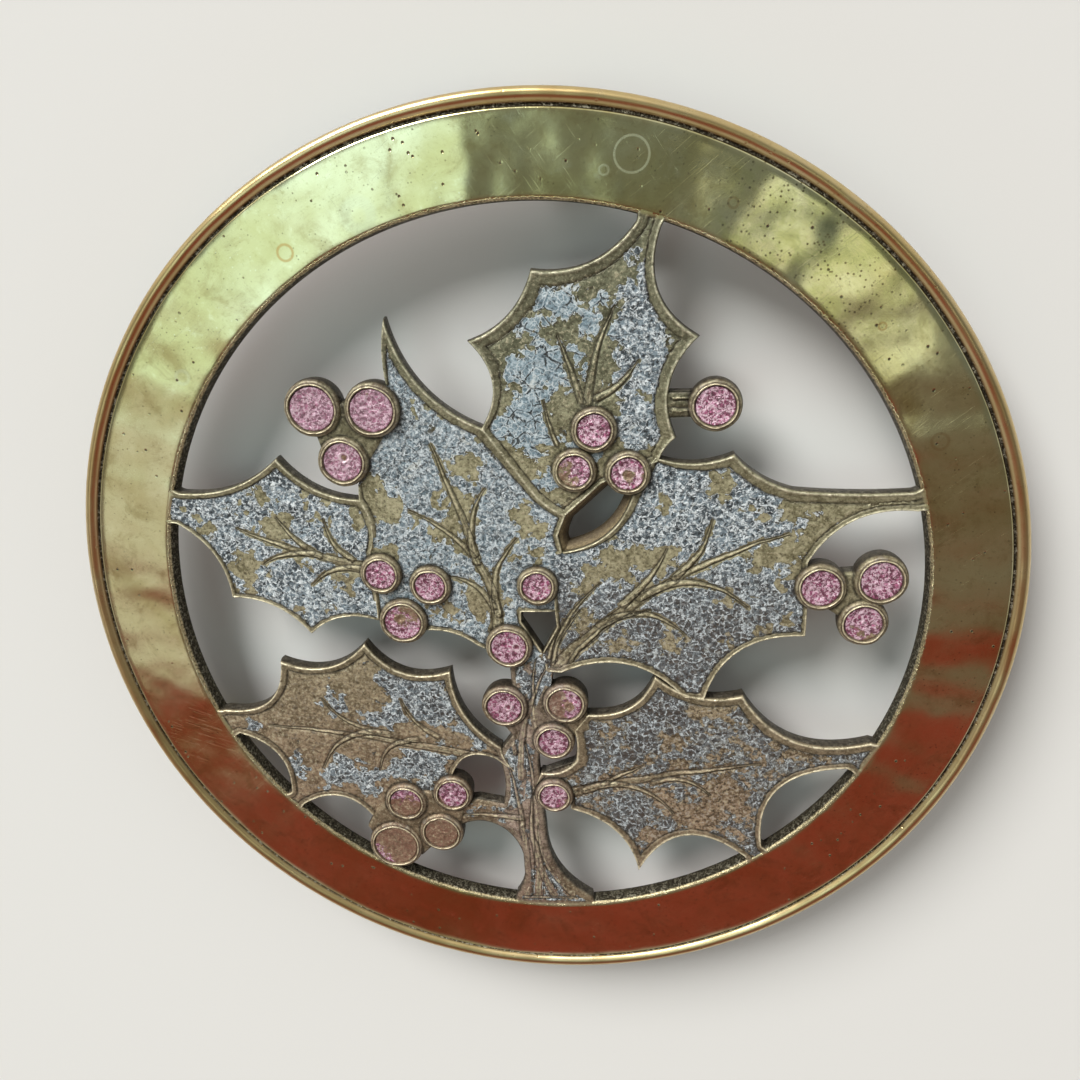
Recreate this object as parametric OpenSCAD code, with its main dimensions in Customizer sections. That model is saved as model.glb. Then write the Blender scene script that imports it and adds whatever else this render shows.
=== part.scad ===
// Round cast brass trivet with a spray of holly set in the opening of a flat ring.
// Lies flat, +Z up. Origin on the table under the centre of the ring, +Y towards the top leaf.

/* [Ring] */
// Radius of the opening that holds the spray
opening_r = 72; // [60:1:90]
// Width of the flat band between the opening and the groove
band_w = 14; // [12:0.5:20]
// Width of the groove between the band and the bead
groove_w = 0.5; // [0.3:0.1:1]
// Depth of that groove
groove_d = 0.6; // [0.3:0.1:1]
// Width of the half-round bead along the rim
bead_w = 2.5; // [2:0.1:4]
// Height by which the crest of the bead stands above the band
bead_rise = 0.3; // [0:0.1:0.4]

/* [Spray] */
// Thickness of the casting at the ring, the leaves and the stem
plate_t = 3.2; // [2.8:0.1:5]
// Width of the raised border round each leaf
border_w = 1; // [0.8:0.1:1.4]
// Depth of the recessed fields that hold the enamel
field_d = 0.6; // [0.4:0.1:1]
// Width of a vein at its root
vein_w = 1.3; // [1:0.1:1.8]
// Radius that rounds the inner corners between leaves, cups and ring
web_r = 0.7; // [0.4:0.1:1]

/* [Berries] */
// Width of the lip round a berry
lip_w = 1.3; // [1:0.1:1.8]
// Height of a berry cup above the leaves
cup_rise = 1.2; // [0.8:0.1:2]
// Depth of the pocket in a berry cup
pocket_d = 1.5; // [1.2:0.1:2.4]

/* [Enamel] */
// Thickness of the enamel in a leaf field
leaf_enamel_t = 0.4; // [0.2:0.1:0.6]
// Thickness of the enamel in a berry pocket
berry_enamel_t = 1; // [0.6:0.1:1.2]
// Gap between the enamel and the brass beside it
enamel_gap = 0.05; // [0.02:0.01:0.1]

/* [Feet] */
// Number of feet
foot_count = 3; // [3:1:4]
// Height of a foot
foot_h = 8; // [6:0.5:14]
// Diameter of the collar at the top of a foot
foot_collar_d = 11; // [9:0.5:12]
// Diameter of the waist of a foot
foot_waist_d = 6.5; // [5.5:0.5:8]
// Diameter of the toe of a foot
foot_toe_d = 9; // [8:0.5:11]
// Height of the collar, and of the toe
foot_flange_h = 1.6; // [1:0.1:2.5]
// Diameter of the stud that holds a foot
stud_d = 4; // [3:0.5:5]
// Length of the stud
stud_l = 4.4; // [3.5:0.1:5]
// Height of the boss under the ring that takes the stud
boss_h = 3; // [2.5:0.1:4]
// Gap between the stud and its hole all round
stud_gap = 0.1; // [0.05:0.01:0.2]
// Depth of the hole past the end of the stud
hole_end_gap = 0.4; // [0.2:0.1:0.8]

/* [Hidden] */
$fn = 64;
// Straight steps in one bowed edge, and in one vein
edge_steps = 6;
vein_steps = 8;
// Sides of a small rounded corner
corner_fn = 12;
// Overrun of every cut
over = 0.5;
brass = [0.66, 0.58, 0.33];
coat = [0.62, 0.68, 0.72];
pink = [0.83, 0.45, 0.62];

// Heights
boss_z = foot_h;
base_z = boss_z + boss_h;
top_z = base_z + plate_t;
cup_z = top_z + cup_rise;
field_z = top_z - field_d;
pocket_z = cup_z - pocket_d;
groove_r = opening_r + band_w;
outer_r = groove_r + groove_w + bead_w;
foot_ring_r = opening_r + (band_w + groove_w + bead_w) / 2;
// Depth to which the spray runs into the ring
root = band_w / 4;
// Height to which a boss runs into the ring
boss_root = plate_t / 2;
// Small step that keeps the outline of the spray clear of the true circles of cups and ring
seam = lip_w / 8;
// Parts of a field narrower than this are left uncut
narrow_w = border_w / 2;

// Leaf outlines, anticlockwise, in shares of the opening radius. Each row is x, y and the bow
// of the edge to the next row, as a share of its length, positive where it scoops inwards.
top_leaf_shares = [
    [0.075, 0.235, 0], [0.165, 0.325, 0], [0.3, 0.39, 0.08], [0.343, 0.447, 0.17],
    [0.385, 0.694, 0.2], [0.292, 0.95, 0], [0.237, 0.95, 0.15], [-0.012, 0.842, 0.13],
    [-0.165, 0.672, 0.2], [-0.135, 0.458, -0.04]];
centre_leaf_shares = [
    [-0.16, -0.145, 0], [-0.075, -0.15, 0], [-0.045, -0.035, 0], [0.043, -0.032, 0],
    [0.052, 0.13, 0], [0.075, 0.235, 0.04], [-0.135, 0.458, 0.13], [-0.371, 0.722, -0.05],
    [-0.372, 0.56, 0], [-0.4, 0.42, 0], [-0.46, 0.3, 0], [-0.46, 0.258, 0.13],
    [-0.44, 0.11, 0], [-0.43, -0.085, 0], [-0.37, -0.08, 0], [-0.3, -0.108, 0.1]];
left_leaf_shares = [
    [-0.966, 0.262, 0], [-0.975, 0.178, 0.14], [-0.834, -0.036, 0.13], [-0.62, -0.135, 0.15],
    [-0.43, -0.085, 0], [-0.44, 0.11, -0.13], [-0.46, 0.258, 0.12], [-0.674, 0.361, 0.11]];
right_leaf_shares = [
    [0.03, -0.215, 0], [0.07, -0.215, 0.22], [0.398, -0.262, 0], [0.452, -0.266, 0.2],
    [0.702, -0.072, 0], [0.7, 0, 0], [0.69, 0.135, 0.17], [0.945, 0.287, 0],
    [0.945, 0.338, 0.02], [0.64, 0.322, 0.08], [0.487, 0.409, 0.1], [0.3, 0.39, 0],
    [0.25, 0.3, 0.14], [0.052, 0.13, 0], [0.043, -0.032, 0], [0.058, -0.075, -0.05],
    [0.018, -0.165, 0]];
low_left_leaf_shares = [
    [-0.11, -0.49, 0.13], [-0.238, -0.231, 0.2], [-0.474, -0.16, 0.18], [-0.718, -0.228, 0.26],
    [-0.915, -0.41, 0], [-0.875, -0.485, 0.28], [-0.735, -0.67, 0], [-0.7, -0.705, 0.25],
    [-0.475, -0.735, 0], [-0.4, -0.68, 0], [-0.27, -0.66, 0], [-0.237, -0.552, 0.25]];
low_right_leaf_shares = [
    [0.1, -0.6, 0], [0.1, -0.655, 0.16], [0.3, -0.855, 0.32], [0.605, -0.785, 0],
    [0.65, -0.75, 0.27], [0.85, -0.465, 0], [0.915, -0.39, 0.2], [0.556, -0.258, 0.18],
    [0.321, -0.225, 0.19], [0.143, -0.343, 0], [0.1, -0.38, 0.18]];
stem_shares = [
    [-0.07, -0.985, 0], [0.15, -0.95, 0.1], [0.015, -0.75, 0], [0.005, -0.6, 0],
    [-0.005, -0.53, 0], [0.02, -0.35, 0], [0.03, -0.215, 0], [0.018, -0.165, 0],
    [-0.03, -0.1, 0], [-0.05, -0.25, 0], [-0.06, -0.43, 0], [-0.11, -0.49, 0.08],
    [-0.09, -0.66, 0], [-0.17, -0.65, 0], [-0.24, -0.66, 0], [-0.23, -0.745, 0.18],
    [-0.09, -0.74, 0.12], [-0.035, -0.86, 0.09]];
LEAVES = ["top_leaf", "centre_leaf", "left_leaf", "right_leaf", "low_left_leaf",
    "low_right_leaf", "stem"];
leaf_shares = [top_leaf_shares, centre_leaf_shares, left_leaf_shares, right_leaf_shares,
    low_left_leaf_shares, low_right_leaf_shares, stem_shares];
// Short webs that carry the outlying berries
web_shares = [
    [[0.3, 0.56, 0], [0.3, 0.495, 0], [0.43, 0.505, 0], [0.43, 0.565, 0]],
    [[-0.56, 0.5, 0], [-0.5, 0.26, 0], [-0.4, 0.26, 0], [-0.38, 0.5, 0]],
    [[0.69, 0.06, 0], [0.84, -0.01, 0], [0.87, 0.09, 0], [0.72, 0.09, 0]],
    [[-0.44, -0.82, 0], [-0.27, -0.8, 0], [-0.2, -0.65, 0], [-0.4, -0.6, 0]],
    [[-0.03, -0.055, 0], [-0.09, -0.14, 0], [-0.03, -0.2, 0], [0.02, -0.16, 0]],
    [[-0.09, -0.38, 0], [-0.06, -0.43, 0], [0, -0.33, 0], [-0.09, -0.29, 0]],
    [[-0.02, -0.37, 0], [0.1, -0.42, 0], [0.15, -0.41, 0], [0.1, -0.29, 0]]];
// Berries: x, y and outer radius of the cup, in shares of the opening radius
berry_shares = [
    [-0.562, 0.499, 0.072], [-0.41, 0.499, 0.07], [-0.493, 0.363, 0.065],
    [0.144, 0.464, 0.056], [0.097, 0.358, 0.055], [0.23, 0.356, 0.056],
    [0.434, 0.533, 0.063], [0.726, 0.07, 0.063], [0.872, 0.097, 0.066],
    [0.841, -0.023, 0.062], [-0.413, 0.055, 0.055], [-0.281, 0.028, 0.055],
    [-0.359, -0.081, 0.064], [0.004, 0.039, 0.053], [-0.073, -0.141, 0.062],
    [-0.087, -0.326, 0.062], [0.081, -0.306, 0.06], [0.05, -0.429, 0.056],
    [0.052, -0.608, 0.053], [-0.38, -0.662, 0.06], [-0.241, -0.623, 0.056],
    [-0.278, -0.76, 0.063], [-0.416, -0.815, 0.078]];
// Veins of each leaf: start, end, bow, and width at the root as a share of vein_w
vein_shares = [
    [[0.115, 0.53, 0.055, 0.69, 0, 0.8], [0.13, 0.53, 0.185, 0.76, 0.05, 1],
        [0.15, 0.54, 0.245, 0.635, -0.08, 0.7], [0.055, 0.42, 0.02, 0.53, 0.05, 0.6]],
    [[-0.105, -0.1, -0.33, 0.228, -0.18, 1.2], [-0.155, 0.1, -0.27, 0.41, -0.02, 1],
        [-0.16, 0.12, -0.13, 0.3, 0.12, 0.9], [-0.1, -0.05, -0.05, 0.165, 0.14, 0.9],
        [-0.115, -0.03, -0.23, 0.05, -0.14, 0.7]],
    [[-0.455, 0.07, -0.8, 0.165, 0.03, 1.1], [-0.6, 0.105, -0.69, 0.2, 0.05, 0.8],
        [-0.49, 0.09, -0.56, 0.2, 0.12, 0.6], [-0.58, 0.095, -0.735, 0.065, -0.12, 0.8],
        [-0.46, 0.06, -0.605, 0.01, -0.15, 0.8]],
    [[0.055, -0.2, 0.635, 0.208, 0.065, 1.4], [0.36, 0.075, 0.445, 0.24, -0.1, 0.8],
        [0.27, 0.015, 0.55, 0, 0.2, 1], [0.17, -0.07, 0.395, -0.085, 0.2, 0.9],
        [0.23, -0.005, 0.335, 0.155, -0.05, 0.9]],
    [[-0.12, -0.475, -0.77, -0.437, -0.02, 1.2], [-0.45, -0.44, -0.61, -0.34, 0.1, 0.5],
        [-0.42, -0.445, -0.62, -0.565, -0.2, 0.9], [-0.34, -0.455, -0.455, -0.565, -0.2, 0.7],
        [-0.28, -0.445, -0.385, -0.33, 0.1, 0.6]],
    [[0.11, -0.597, 0.62, -0.472, 0.02, 1.3], [0.19, -0.565, 0.3, -0.495, 0, 0.6],
        [0.33, -0.548, 0.49, -0.58, 0.15, 0.7], [0.14, -0.59, 0.39, -0.65, 0.2, 1]],
    []];
// Places of the feet, as angles
foot_turns = [for (i = [0 : foot_count - 1]) 90 + i * 360 / foot_count];

function across(run) = [-run[1], run[0]];
// Points of an edge from p to q, without q, bowed by a share of its length
function bowed(p, q, bow, steps) = bow == 0 ? [p] :
    [for (i = [0 : steps - 1]) let (t = i / steps)
        p + t * (q - p) + 4 * t * (1 - t) * bow * across(q - p)];
function spot(row) = [row[0], row[1]] * opening_r;
function outline(rows) = [for (i = [0 : len(rows) - 1])
    each bowed(spot(rows[i]), spot(rows[(i + 1) % len(rows)]), rows[i][2], edge_steps)];
function vein_side(row, side) =
    let (p = spot(row), q = [row[2], row[3]] * opening_r, half = side * row[5] * vein_w / 2)
    [for (i = [0 : vein_steps - 1]) let (t = i / vein_steps, run = q - p,
        way = run + 4 * (1 - 2 * t) * row[4] * across(run))
        p + t * run + 4 * t * (1 - t) * row[4] * across(run)
            + half * sqrt(1 - t) * across(way) / norm(way)];
function reversed(list) = [for (i = [len(list) - 1 : -1 : 0]) list[i]];
function vein_outline(row) = concat(vein_side(row, 1), [[row[2], row[3]] * opening_r],
    reversed(vein_side(row, -1)));
function cup_r(row) = row[2] * opening_r;
function pocket_r(row) = cup_r(row) - lip_w;

module cups_2d(extra) {
    for (row = berry_shares) translate(spot(row)) circle(cup_r(row) + extra, $fn = 32);
}

module spray_2d() {
    offset(r = -web_r, $fn = corner_fn) offset(r = web_r, $fn = corner_fn) {
        for (rows = leaf_shares) polygon(outline(rows));
        for (rows = web_shares) polygon(outline(rows));
        cups_2d(seam);
        difference() {
            circle(opening_r + root, $fn = 96);
            circle(opening_r + seam, $fn = 96);
        }
    }
}

// One recessed field, inside its border and clear of veins and cups
module field_2d(i, shrink) {
    offset(delta = narrow_w / 2 - shrink) offset(delta = -narrow_w / 2) difference() {
        intersection() {
            offset(delta = -border_w) polygon(outline(leaf_shares[i]));
            circle(opening_r, $fn = 96);
        }
        for (row = vein_shares[i]) polygon(vein_outline(row));
        cups_2d(border_w / 2);
    }
}

module ring() {
    rotate_extrude($fn = 128) {
        translate([opening_r, base_z]) square([band_w, plate_t]);
        translate([groove_r - over, base_z]) square([groove_w + 2 * over, plate_t - groove_d]);
        translate([groove_r + groove_w, base_z])
            square([bead_w, plate_t + bead_rise - bead_w / 2]);
        translate([groove_r + groove_w + bead_w / 2, top_z + bead_rise - bead_w / 2])
            circle(d = bead_w, $fn = 32);
    }
}

module casting() {
    color(brass) difference() {
        union() {
            ring();
            difference() {
                translate([0, 0, base_z]) linear_extrude(plate_t) spray_2d();
                for (i = [0 : len(LEAVES) - 1])
                    translate([0, 0, field_z]) linear_extrude(field_d + over) field_2d(i, 0);
            }
            for (row = berry_shares) translate([spot(row)[0], spot(row)[1], base_z])
                cylinder(r = cup_r(row), h = cup_z - base_z);
            for (turn = foot_turns) rotate(turn) translate([foot_ring_r, 0, boss_z])
                cylinder(d = foot_collar_d, h = boss_h + boss_root);
        }
        for (row = berry_shares) translate([spot(row)[0], spot(row)[1], pocket_z])
            cylinder(r = pocket_r(row), h = pocket_d + over);
        for (turn = foot_turns) rotate(turn) translate([foot_ring_r, 0, boss_z - over])
            cylinder(d = stud_d + 2 * stud_gap, h = stud_l + hole_end_gap + over);
    }
}

module leaf_enamel(i) {
    color(coat) translate([0, 0, field_z]) linear_extrude(leaf_enamel_t) field_2d(i, enamel_gap);
}

module berry_enamel(i) {
    row = berry_shares[i];
    color(pink) translate([spot(row)[0], spot(row)[1], pocket_z])
        cylinder(r = pocket_r(row) - enamel_gap, h = berry_enamel_t);
}

module foot(i) {
    color(brass) rotate(foot_turns[i]) translate([foot_ring_r, 0, 0]) {
        cylinder(d = foot_toe_d, h = foot_flange_h);
        cylinder(d = foot_waist_d, h = foot_h);
        translate([0, 0, foot_flange_h])
            cylinder(d1 = foot_toe_d, d2 = foot_waist_d, h = foot_flange_h);
        translate([0, 0, foot_h - foot_flange_h]) cylinder(d = foot_collar_d, h = foot_flange_h);
        cylinder(d = stud_d, h = foot_h + stud_l);
    }
}

casting();
for (i = [0 : len(LEAVES) - 1])
    leaf_enamel(i);
for (i = [0 : len(berry_shares) - 1])
    berry_enamel(i);
for (i = [0 : foot_count - 1])
    foot(i);
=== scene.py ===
import math

import bmesh
import bpy
from mathutils import Matrix, Vector, geometry, kdtree, noise
from mathutils.bvhtree import BVHTree


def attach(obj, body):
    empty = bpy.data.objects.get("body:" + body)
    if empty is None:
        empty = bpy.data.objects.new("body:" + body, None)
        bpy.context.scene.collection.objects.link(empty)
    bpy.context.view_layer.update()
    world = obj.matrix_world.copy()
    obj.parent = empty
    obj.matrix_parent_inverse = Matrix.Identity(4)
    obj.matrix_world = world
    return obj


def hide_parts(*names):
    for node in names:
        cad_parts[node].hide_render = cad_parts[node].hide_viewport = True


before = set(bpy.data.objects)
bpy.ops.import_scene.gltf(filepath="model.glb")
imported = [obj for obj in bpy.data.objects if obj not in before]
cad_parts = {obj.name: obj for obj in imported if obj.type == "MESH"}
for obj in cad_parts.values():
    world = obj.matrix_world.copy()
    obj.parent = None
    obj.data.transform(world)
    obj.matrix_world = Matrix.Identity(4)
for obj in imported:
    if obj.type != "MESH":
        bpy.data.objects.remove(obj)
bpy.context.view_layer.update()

# THE RING
# The ring is cast in one pour with the spray, then faced and polished on a lathe.
# A narrow groove, coloured near black, parts the flat band from the half-round bead of the rim.

mm = 0.001
opening_r = 72
base_z = 11.0
top_z = 14.2
# From the inner edge over the band, down into the groove, over the bead and back underneath
ring_profile = [
    (71.5, 11.05), (71.55, 11.6), (71.62, 12.4), (71.7, 13.1), (71.76, 13.5), (71.84, 13.78),
    (72.0, 14.0), (72.3, 14.13), (72.75, 14.19), (73.4, 14.2), (76, 14.2), (79, 14.2), (82, 14.2),
    (84.6, 14.2), (85.55, 14.19), (85.78, 14.13), (85.9, 13.98), (85.97, 13.6), (86.1, 13.48),
    (86.3, 13.5),
    (86.45, 13.64), (86.7, 13.92), (87.0, 14.19), (87.3, 14.37), (87.6, 14.47), (87.88, 14.5),
    (88.18, 14.45), (88.46, 14.31), (88.72, 14.07), (88.88, 13.78), (88.96, 13.4), (88.97, 12.8),
    (88.96, 11.7), (88.88, 11.3), (88.6, 11.06), (88.2, 11.0), (84, 11.0), (76, 11.0), (71.7, 11.0)]


def turned(profile, steps, closed=False):
    """Spins a profile of radius and height in millimetres round the upright axis."""
    bm = bmesh.new()
    corners = [bm.verts.new((r * mm, 0, z * mm)) for r, z in profile]
    pairs = list(zip(corners, corners[1:])) + ([(corners[-1], corners[0])] if closed else [])
    edges = [bm.edges.new(pair) for pair in pairs]
    bmesh.ops.spin(bm, geom=corners + edges, cent=(0, 0, 0), axis=(0, 0, 1), angle=math.tau,
                   steps=steps, use_merge=True)
    bmesh.ops.remove_doubles(bm, verts=bm.verts, dist=1e-6)
    bmesh.ops.recalc_face_normals(bm, faces=bm.faces)
    return bm


def piece_from(bm, name, finish):
    """Makes a smooth object of a bmesh and gives it its finish."""
    mesh = bpy.data.meshes.new(name)
    bm.to_mesh(mesh)
    bm.free()
    mesh.shade_smooth()
    mesh.materials.append(finish)
    piece = bpy.data.objects.new(name, mesh)
    bpy.context.scene.collection.objects.link(piece)
    return piece


class Tone:
    """A value, colour or vector that runs through a finish. Operators on values add Math nodes."""

    def __init__(self, tree, socket):
        self.tree, self.socket = tree, socket

    def node(self, kind, settings=None, sockets=None, out=0):
        """Adds a node of a kind, with its settings, and the values or links of its sockets."""
        made = self.tree.nodes.new(kind)
        for key, value in (settings or {}).items():
            setattr(made, key, value)
        for key, value in (sockets or {}).items():
            if isinstance(value, Tone):
                self.tree.links.new(value.socket, made.inputs[key])
            else:
                made.inputs[key].default_value = value
        return None if out is None else Tone(self.tree, made.outputs[out])

    def math(self, operation, *values):
        """Adds a Math node that works on the values, or on this one alone."""
        return self.node("ShaderNodeMath", {"operation": operation},
                         dict(enumerate(values or (self,))))

    def __add__(self, other):
        return self.math("ADD", self, other)

    def __radd__(self, other):
        return self.math("ADD", other, self)

    def __sub__(self, other):
        return self.math("SUBTRACT", self, other)

    def __rsub__(self, other):
        return self.math("SUBTRACT", other, self)

    def __mul__(self, other):
        return self.math("MULTIPLY", self, other)

    def __rmul__(self, other):
        return self.math("MULTIPLY", other, self)

    def most(self, other):
        """The greater of two values."""
        return self.math("MAXIMUM", self, other)

    def marked(self, *names):
        """The values that the piece's vertices carry under these names."""
        return [self.node("ShaderNodeAttribute", {"attribute_name": name}, out=2)
                for name in names]

    def rise(self, low, high):
        """Goes smoothly from 0 at low to 1 at high."""
        return self.node("ShaderNodeMapRange", {"interpolation_type": "SMOOTHSTEP"},
                         {"Value": self, "From Min": low, "From Max": high})

    def fall(self, low, high):
        """Goes smoothly from 1 at low to 0 at high."""
        return 1 - self.rise(low, high)

    def band(self, low, full, end, high):
        """Rises from 0 at low to 1 at full, and falls from 1 at end back to 0 at high."""
        return self.rise(low, full) * self.fall(end, high)

    def stretched(self, x, y, z, turn=0.0):
        """The point, turned about the upright axis and scaled."""
        return self.node("ShaderNodeMapping", {"vector_type": "TEXTURE"},
                         {"Vector": self, "Scale": (1 / x, 1 / y, 1 / z),
                          "Rotation": (0, 0, turn)})

    def grain(self, scale, detail=3.0, roughness=0.55, distortion=0.0):
        """A cloudy noise at this point."""
        return self.node("ShaderNodeTexNoise", {},
                         {"Vector": self, "Scale": scale, "Detail": detail,
                          "Roughness": roughness, "Distortion": distortion})

    def cells(self, scale, feature="F1", out=0):
        """Uneven cells at this point: the distance in each, or for out 1 its chance colour."""
        return self.node("ShaderNodeTexVoronoi", {"feature": feature},
                         {"Vector": self, "Scale": scale}, out)

    def chance(self, scale):
        """A chance value for each cell."""
        return self.node("ShaderNodeSeparateColor", {}, {0: self.cells(scale, out=1)})

    def away(self, x, y, z):
        """Distance of the point from a place."""
        return self.node("ShaderNodeVectorMath", {"operation": "DISTANCE"},
                         {0: self, 1: (x, y, z)}, 1)

    def tint(self, low, high):
        """A colour between two, where the value goes from 0 to 1."""
        made = {"Factor": self}
        made[6] = low if isinstance(low, Tone) else (*low, 1)
        made[7] = high if isinstance(high, Tone) else (*high, 1)
        return self.node("ShaderNodeMix", {"data_type": "RGBA"}, made, 2)

    def relief(self, depth, under=None):
        """Normals for a relief of this depth in millimetres."""
        made = {"Height": self, "Distance": depth * mm}
        if under:
            made["Normal"] = under
        return self.node("ShaderNodeBump", {}, made)


def layered(colour, *layers):
    """Lays colours over a colour, each as far as its amount says."""
    for amount, layer in layers:
        colour = amount.tint(colour, layer)
    return colour


def new_finish(name):
    """A new material, and the point on the piece in millimetres."""
    finish = bpy.data.materials.new(name)
    finish.use_nodes = True
    tree = finish.node_tree
    tree.nodes.clear()
    place = Tone(tree, tree.nodes.new("ShaderNodeTexCoord").outputs["Object"])
    point = place.node("ShaderNodeVectorMath", {"operation": "SCALE"}, {0: place, "Scale": 1000})
    return finish, point


def surface(point, **sockets):
    """Ends a finish in its shader."""
    names = {key.replace("_", " "): value for key, value in sockets.items()}
    shader = point.node("ShaderNodeBsdfPrincipled", {}, names)
    point.node("ShaderNodeOutputMaterial", {}, {"Surface": shader}, out=None)


def cross_axes(point):
    """The three co-ordinates of a point."""
    split = point.tree.nodes.new("ShaderNodeSeparateXYZ")
    point.tree.links.new(point.socket, split.inputs[0])
    return [Tone(point.tree, out) for out in split.outputs]


def clouded_brass(point):
    """Polished brass gone cloudy. Gives its colour and the blotches in it."""
    cloud = point.grain(0.03, 4.0, 0.6, 0.5)
    blotch = point.grain(0.15, 6.0, 0.7, 0.4)
    metal = cloud.rise(0.35, 0.65).tint((0.53, 0.475, 0.23), (0.72, 0.685, 0.44))
    metal = layered(
        metal,
        (blotch.rise(0.48, 0.72) * 0.6, (0.36, 0.28, 0.11)),
        (blotch.fall(0.3, 0.46) * 0.35, (0.83, 0.81, 0.58)))
    return metal, blotch


def scored(point, along, across, angle, cover):
    """Fine straight scratches: how fast they change along and across, their angle and cover."""
    return point.stretched(along, across, 1.0, angle).grain(1.0, 2.0, 0.6).rise(*cover)


def dotted(point, scale, size, cloud, cover, detail=2.0):
    """Round dots, gathered in clouds: the scales of both, the dots' size and the clouds' cover."""
    return point.cells(scale).fall(*size) * point.grain(cloud, detail).rise(*cover)


polished_brass, point = new_finish("polished_brass")
x, y, z = cross_axes(point)
radius = (x * x + y * y).math("SQRT")
turn = x.math("ARCTAN2", y, x)
around = x.node("ShaderNodeCombineXYZ", {}, {0: radius * 7.0, 1: turn * 9.0, 2: z * 7.0})

brushed = around.grain(1.0, 2.0, 0.5)
metal, blotch = clouded_brass(point)
speckle = point.grain(1.3, 4.0, 0.7)
scratch_a = scored(point, 0.1, 5.0, 0.7, (0.64, 0.76))
scratch_b = scored(point, 0.13, 6.0, -0.95, (0.66, 0.78))
scratches = scratch_a.most(scratch_b)
pits = dotted(point, 0.42, (0.06, 0.13), 0.16, (0.47, 0.55))
small_pits = dotted(point, 1.1, (0.09, 0.2), 0.3, (0.5, 0.58))
specks = dotted(point, 0.8, (0.05, 0.13), 0.09, (0.48, 0.6), 1.0)

# Marks that drops dried into: place, radius, width of the line, and paler (1) or darker (-1)
marks = [(15.5, 78.8, 2.8, 0.3, 0.75), (11.1, 76.4, 0.75, 0.3, 0.5), (-43.1, 63.0, 1.35, 0.35, -1),
         (57.6, 52.3, 0.6, 0.25, -0.7), (-29.9, 69.2, 2.2, 1.6, 0.35), (-64.4, 41.0, 1.2, 0.5, 0.3),
         (69.5, 33.0, 1.4, 0.4, -0.4), (32.0, 71.5, 0.8, 0.3, -0.5)]
pale_marks, dark_marks = 0.0, 0.0
for mark_x, mark_y, mark_r, line, strength in marks:
    off = point.away(mark_x, mark_y, top_z) - mark_r
    drop = off.math("ABSOLUTE").fall(0.25 * line, line) * abs(strength)
    if strength > 0:
        pale_marks = drop + pale_marks
    else:
        dark_marks = drop + dark_marks

# A dark oval stain at the upper right
oval_x, oval_y, oval_squash = 47.0, 67.1, 0.8
oval = point.stretched(1.0, oval_squash, 1.0).away(oval_x, oval_y * oval_squash, top_z)
oval = oval.fall(0.8, 3.0)

# The lathe reaches the band, the bead and the outer side: the rest keeps its casting skin
skin = z.fall(13.6, 13.95) * radius.fall(88.2, 88.6)
skin = skin.most(z.fall(11.2, 11.7))
rough_skin = point.grain(2.6, 5.0, 0.7)
groove = z.fall(13.75, 14.1) * radius.rise(85.6, 85.85) * radius.fall(86.5, 87.0)

# The upper right is stained, with fine pits in the stain
stained = turn.band(0.6, 0.85, 1.1, 1.25)
peppered = dotted(point, 1.1, (0.12, 0.28), 0.2, (0.38, 0.5))

# The lower left is rubbed, with bright lines
rubbed = point.away(-69.5, -34.0, top_z).fall(4.0, 12.0)
rubbed = rubbed * point.grain(0.3, 2.0).rise(0.42, 0.55)
rub_lines = scored(point, 0.1, 5.0, -0.3, (0.57, 0.65))

metal = layered(
    metal,
    (speckle.rise(0.56, 0.7) * 0.3, (0.30, 0.25, 0.09)),
    (stained * blotch.rise(0.42, 0.6) * 0.5, (0.60, 0.62, 0.27)),
    (oval * 0.75, (0.15, 0.165, 0.11)),
    (pale_marks * 0.5, (0.86, 0.88, 0.68)),
    (dark_marks * 0.6, (0.42, 0.22, 0.05)),
    (specks * 0.4, (0.82, 0.82, 0.66)),
    (rub_lines * rubbed * 0.6, (0.96, 0.88, 0.66)),
    (scratches * 0.22, (0.92, 0.84, 0.62)),
    (pits * 0.9, (0.07, 0.045, 0.02)),
    (small_pits * 0.6, (0.12, 0.09, 0.035)),
    (peppered * stained * 0.8, (0.13, 0.09, 0.03)),
    (skin, rough_skin.rise(0.35, 0.65).tint((0.06, 0.042, 0.025), (0.20, 0.16, 0.085))),
    (groove * 0.9, (0.04, 0.028, 0.015)))

# The bead is tinted a warmer brown, a painted stand-in for the brown it reflects, and the inner
# edge is rough, its gold partly worn brass and partly painted highlight on the rounded edge
bead = radius.rise(86.3, 86.8)
brim = (radius + 1.1 * (rough_skin - 0.5)).fall(72.05, 72.4)
# Bright grains in the cast skin, partly painted glints, more of them higher up the wall
grit_and_glints = point.grain(1.3, 3.0, 0.8).rise(0.53, 0.6) * skin
metal = layered(
    metal,
    (bead * 0.65, (0.62, 0.42, 0.19)),
    (brim * 0.85, rough_skin.rise(0.38, 0.58).tint((0.06, 0.042, 0.022), (0.74, 0.62, 0.38))),
    # Painted shade: the cast skin is coloured darker lower down the inner wall
    (z.fall(13.45, 13.85) * skin,
     rough_skin.rise(0.4, 0.65).tint((0.03, 0.025, 0.018), (0.15, 0.13, 0.09))),
    (grit_and_glints * (0.25 + 0.4 * z.rise(12.0, 13.6)), (0.56, 0.52, 0.40)))
ring_roughness = 0.10 + 0.14 * blotch + 0.05 * brushed + 0.12 * pale_marks
ring_roughness = ring_roughness + skin * 0.34 + brim * 0.14 + bead * 0.1

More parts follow.
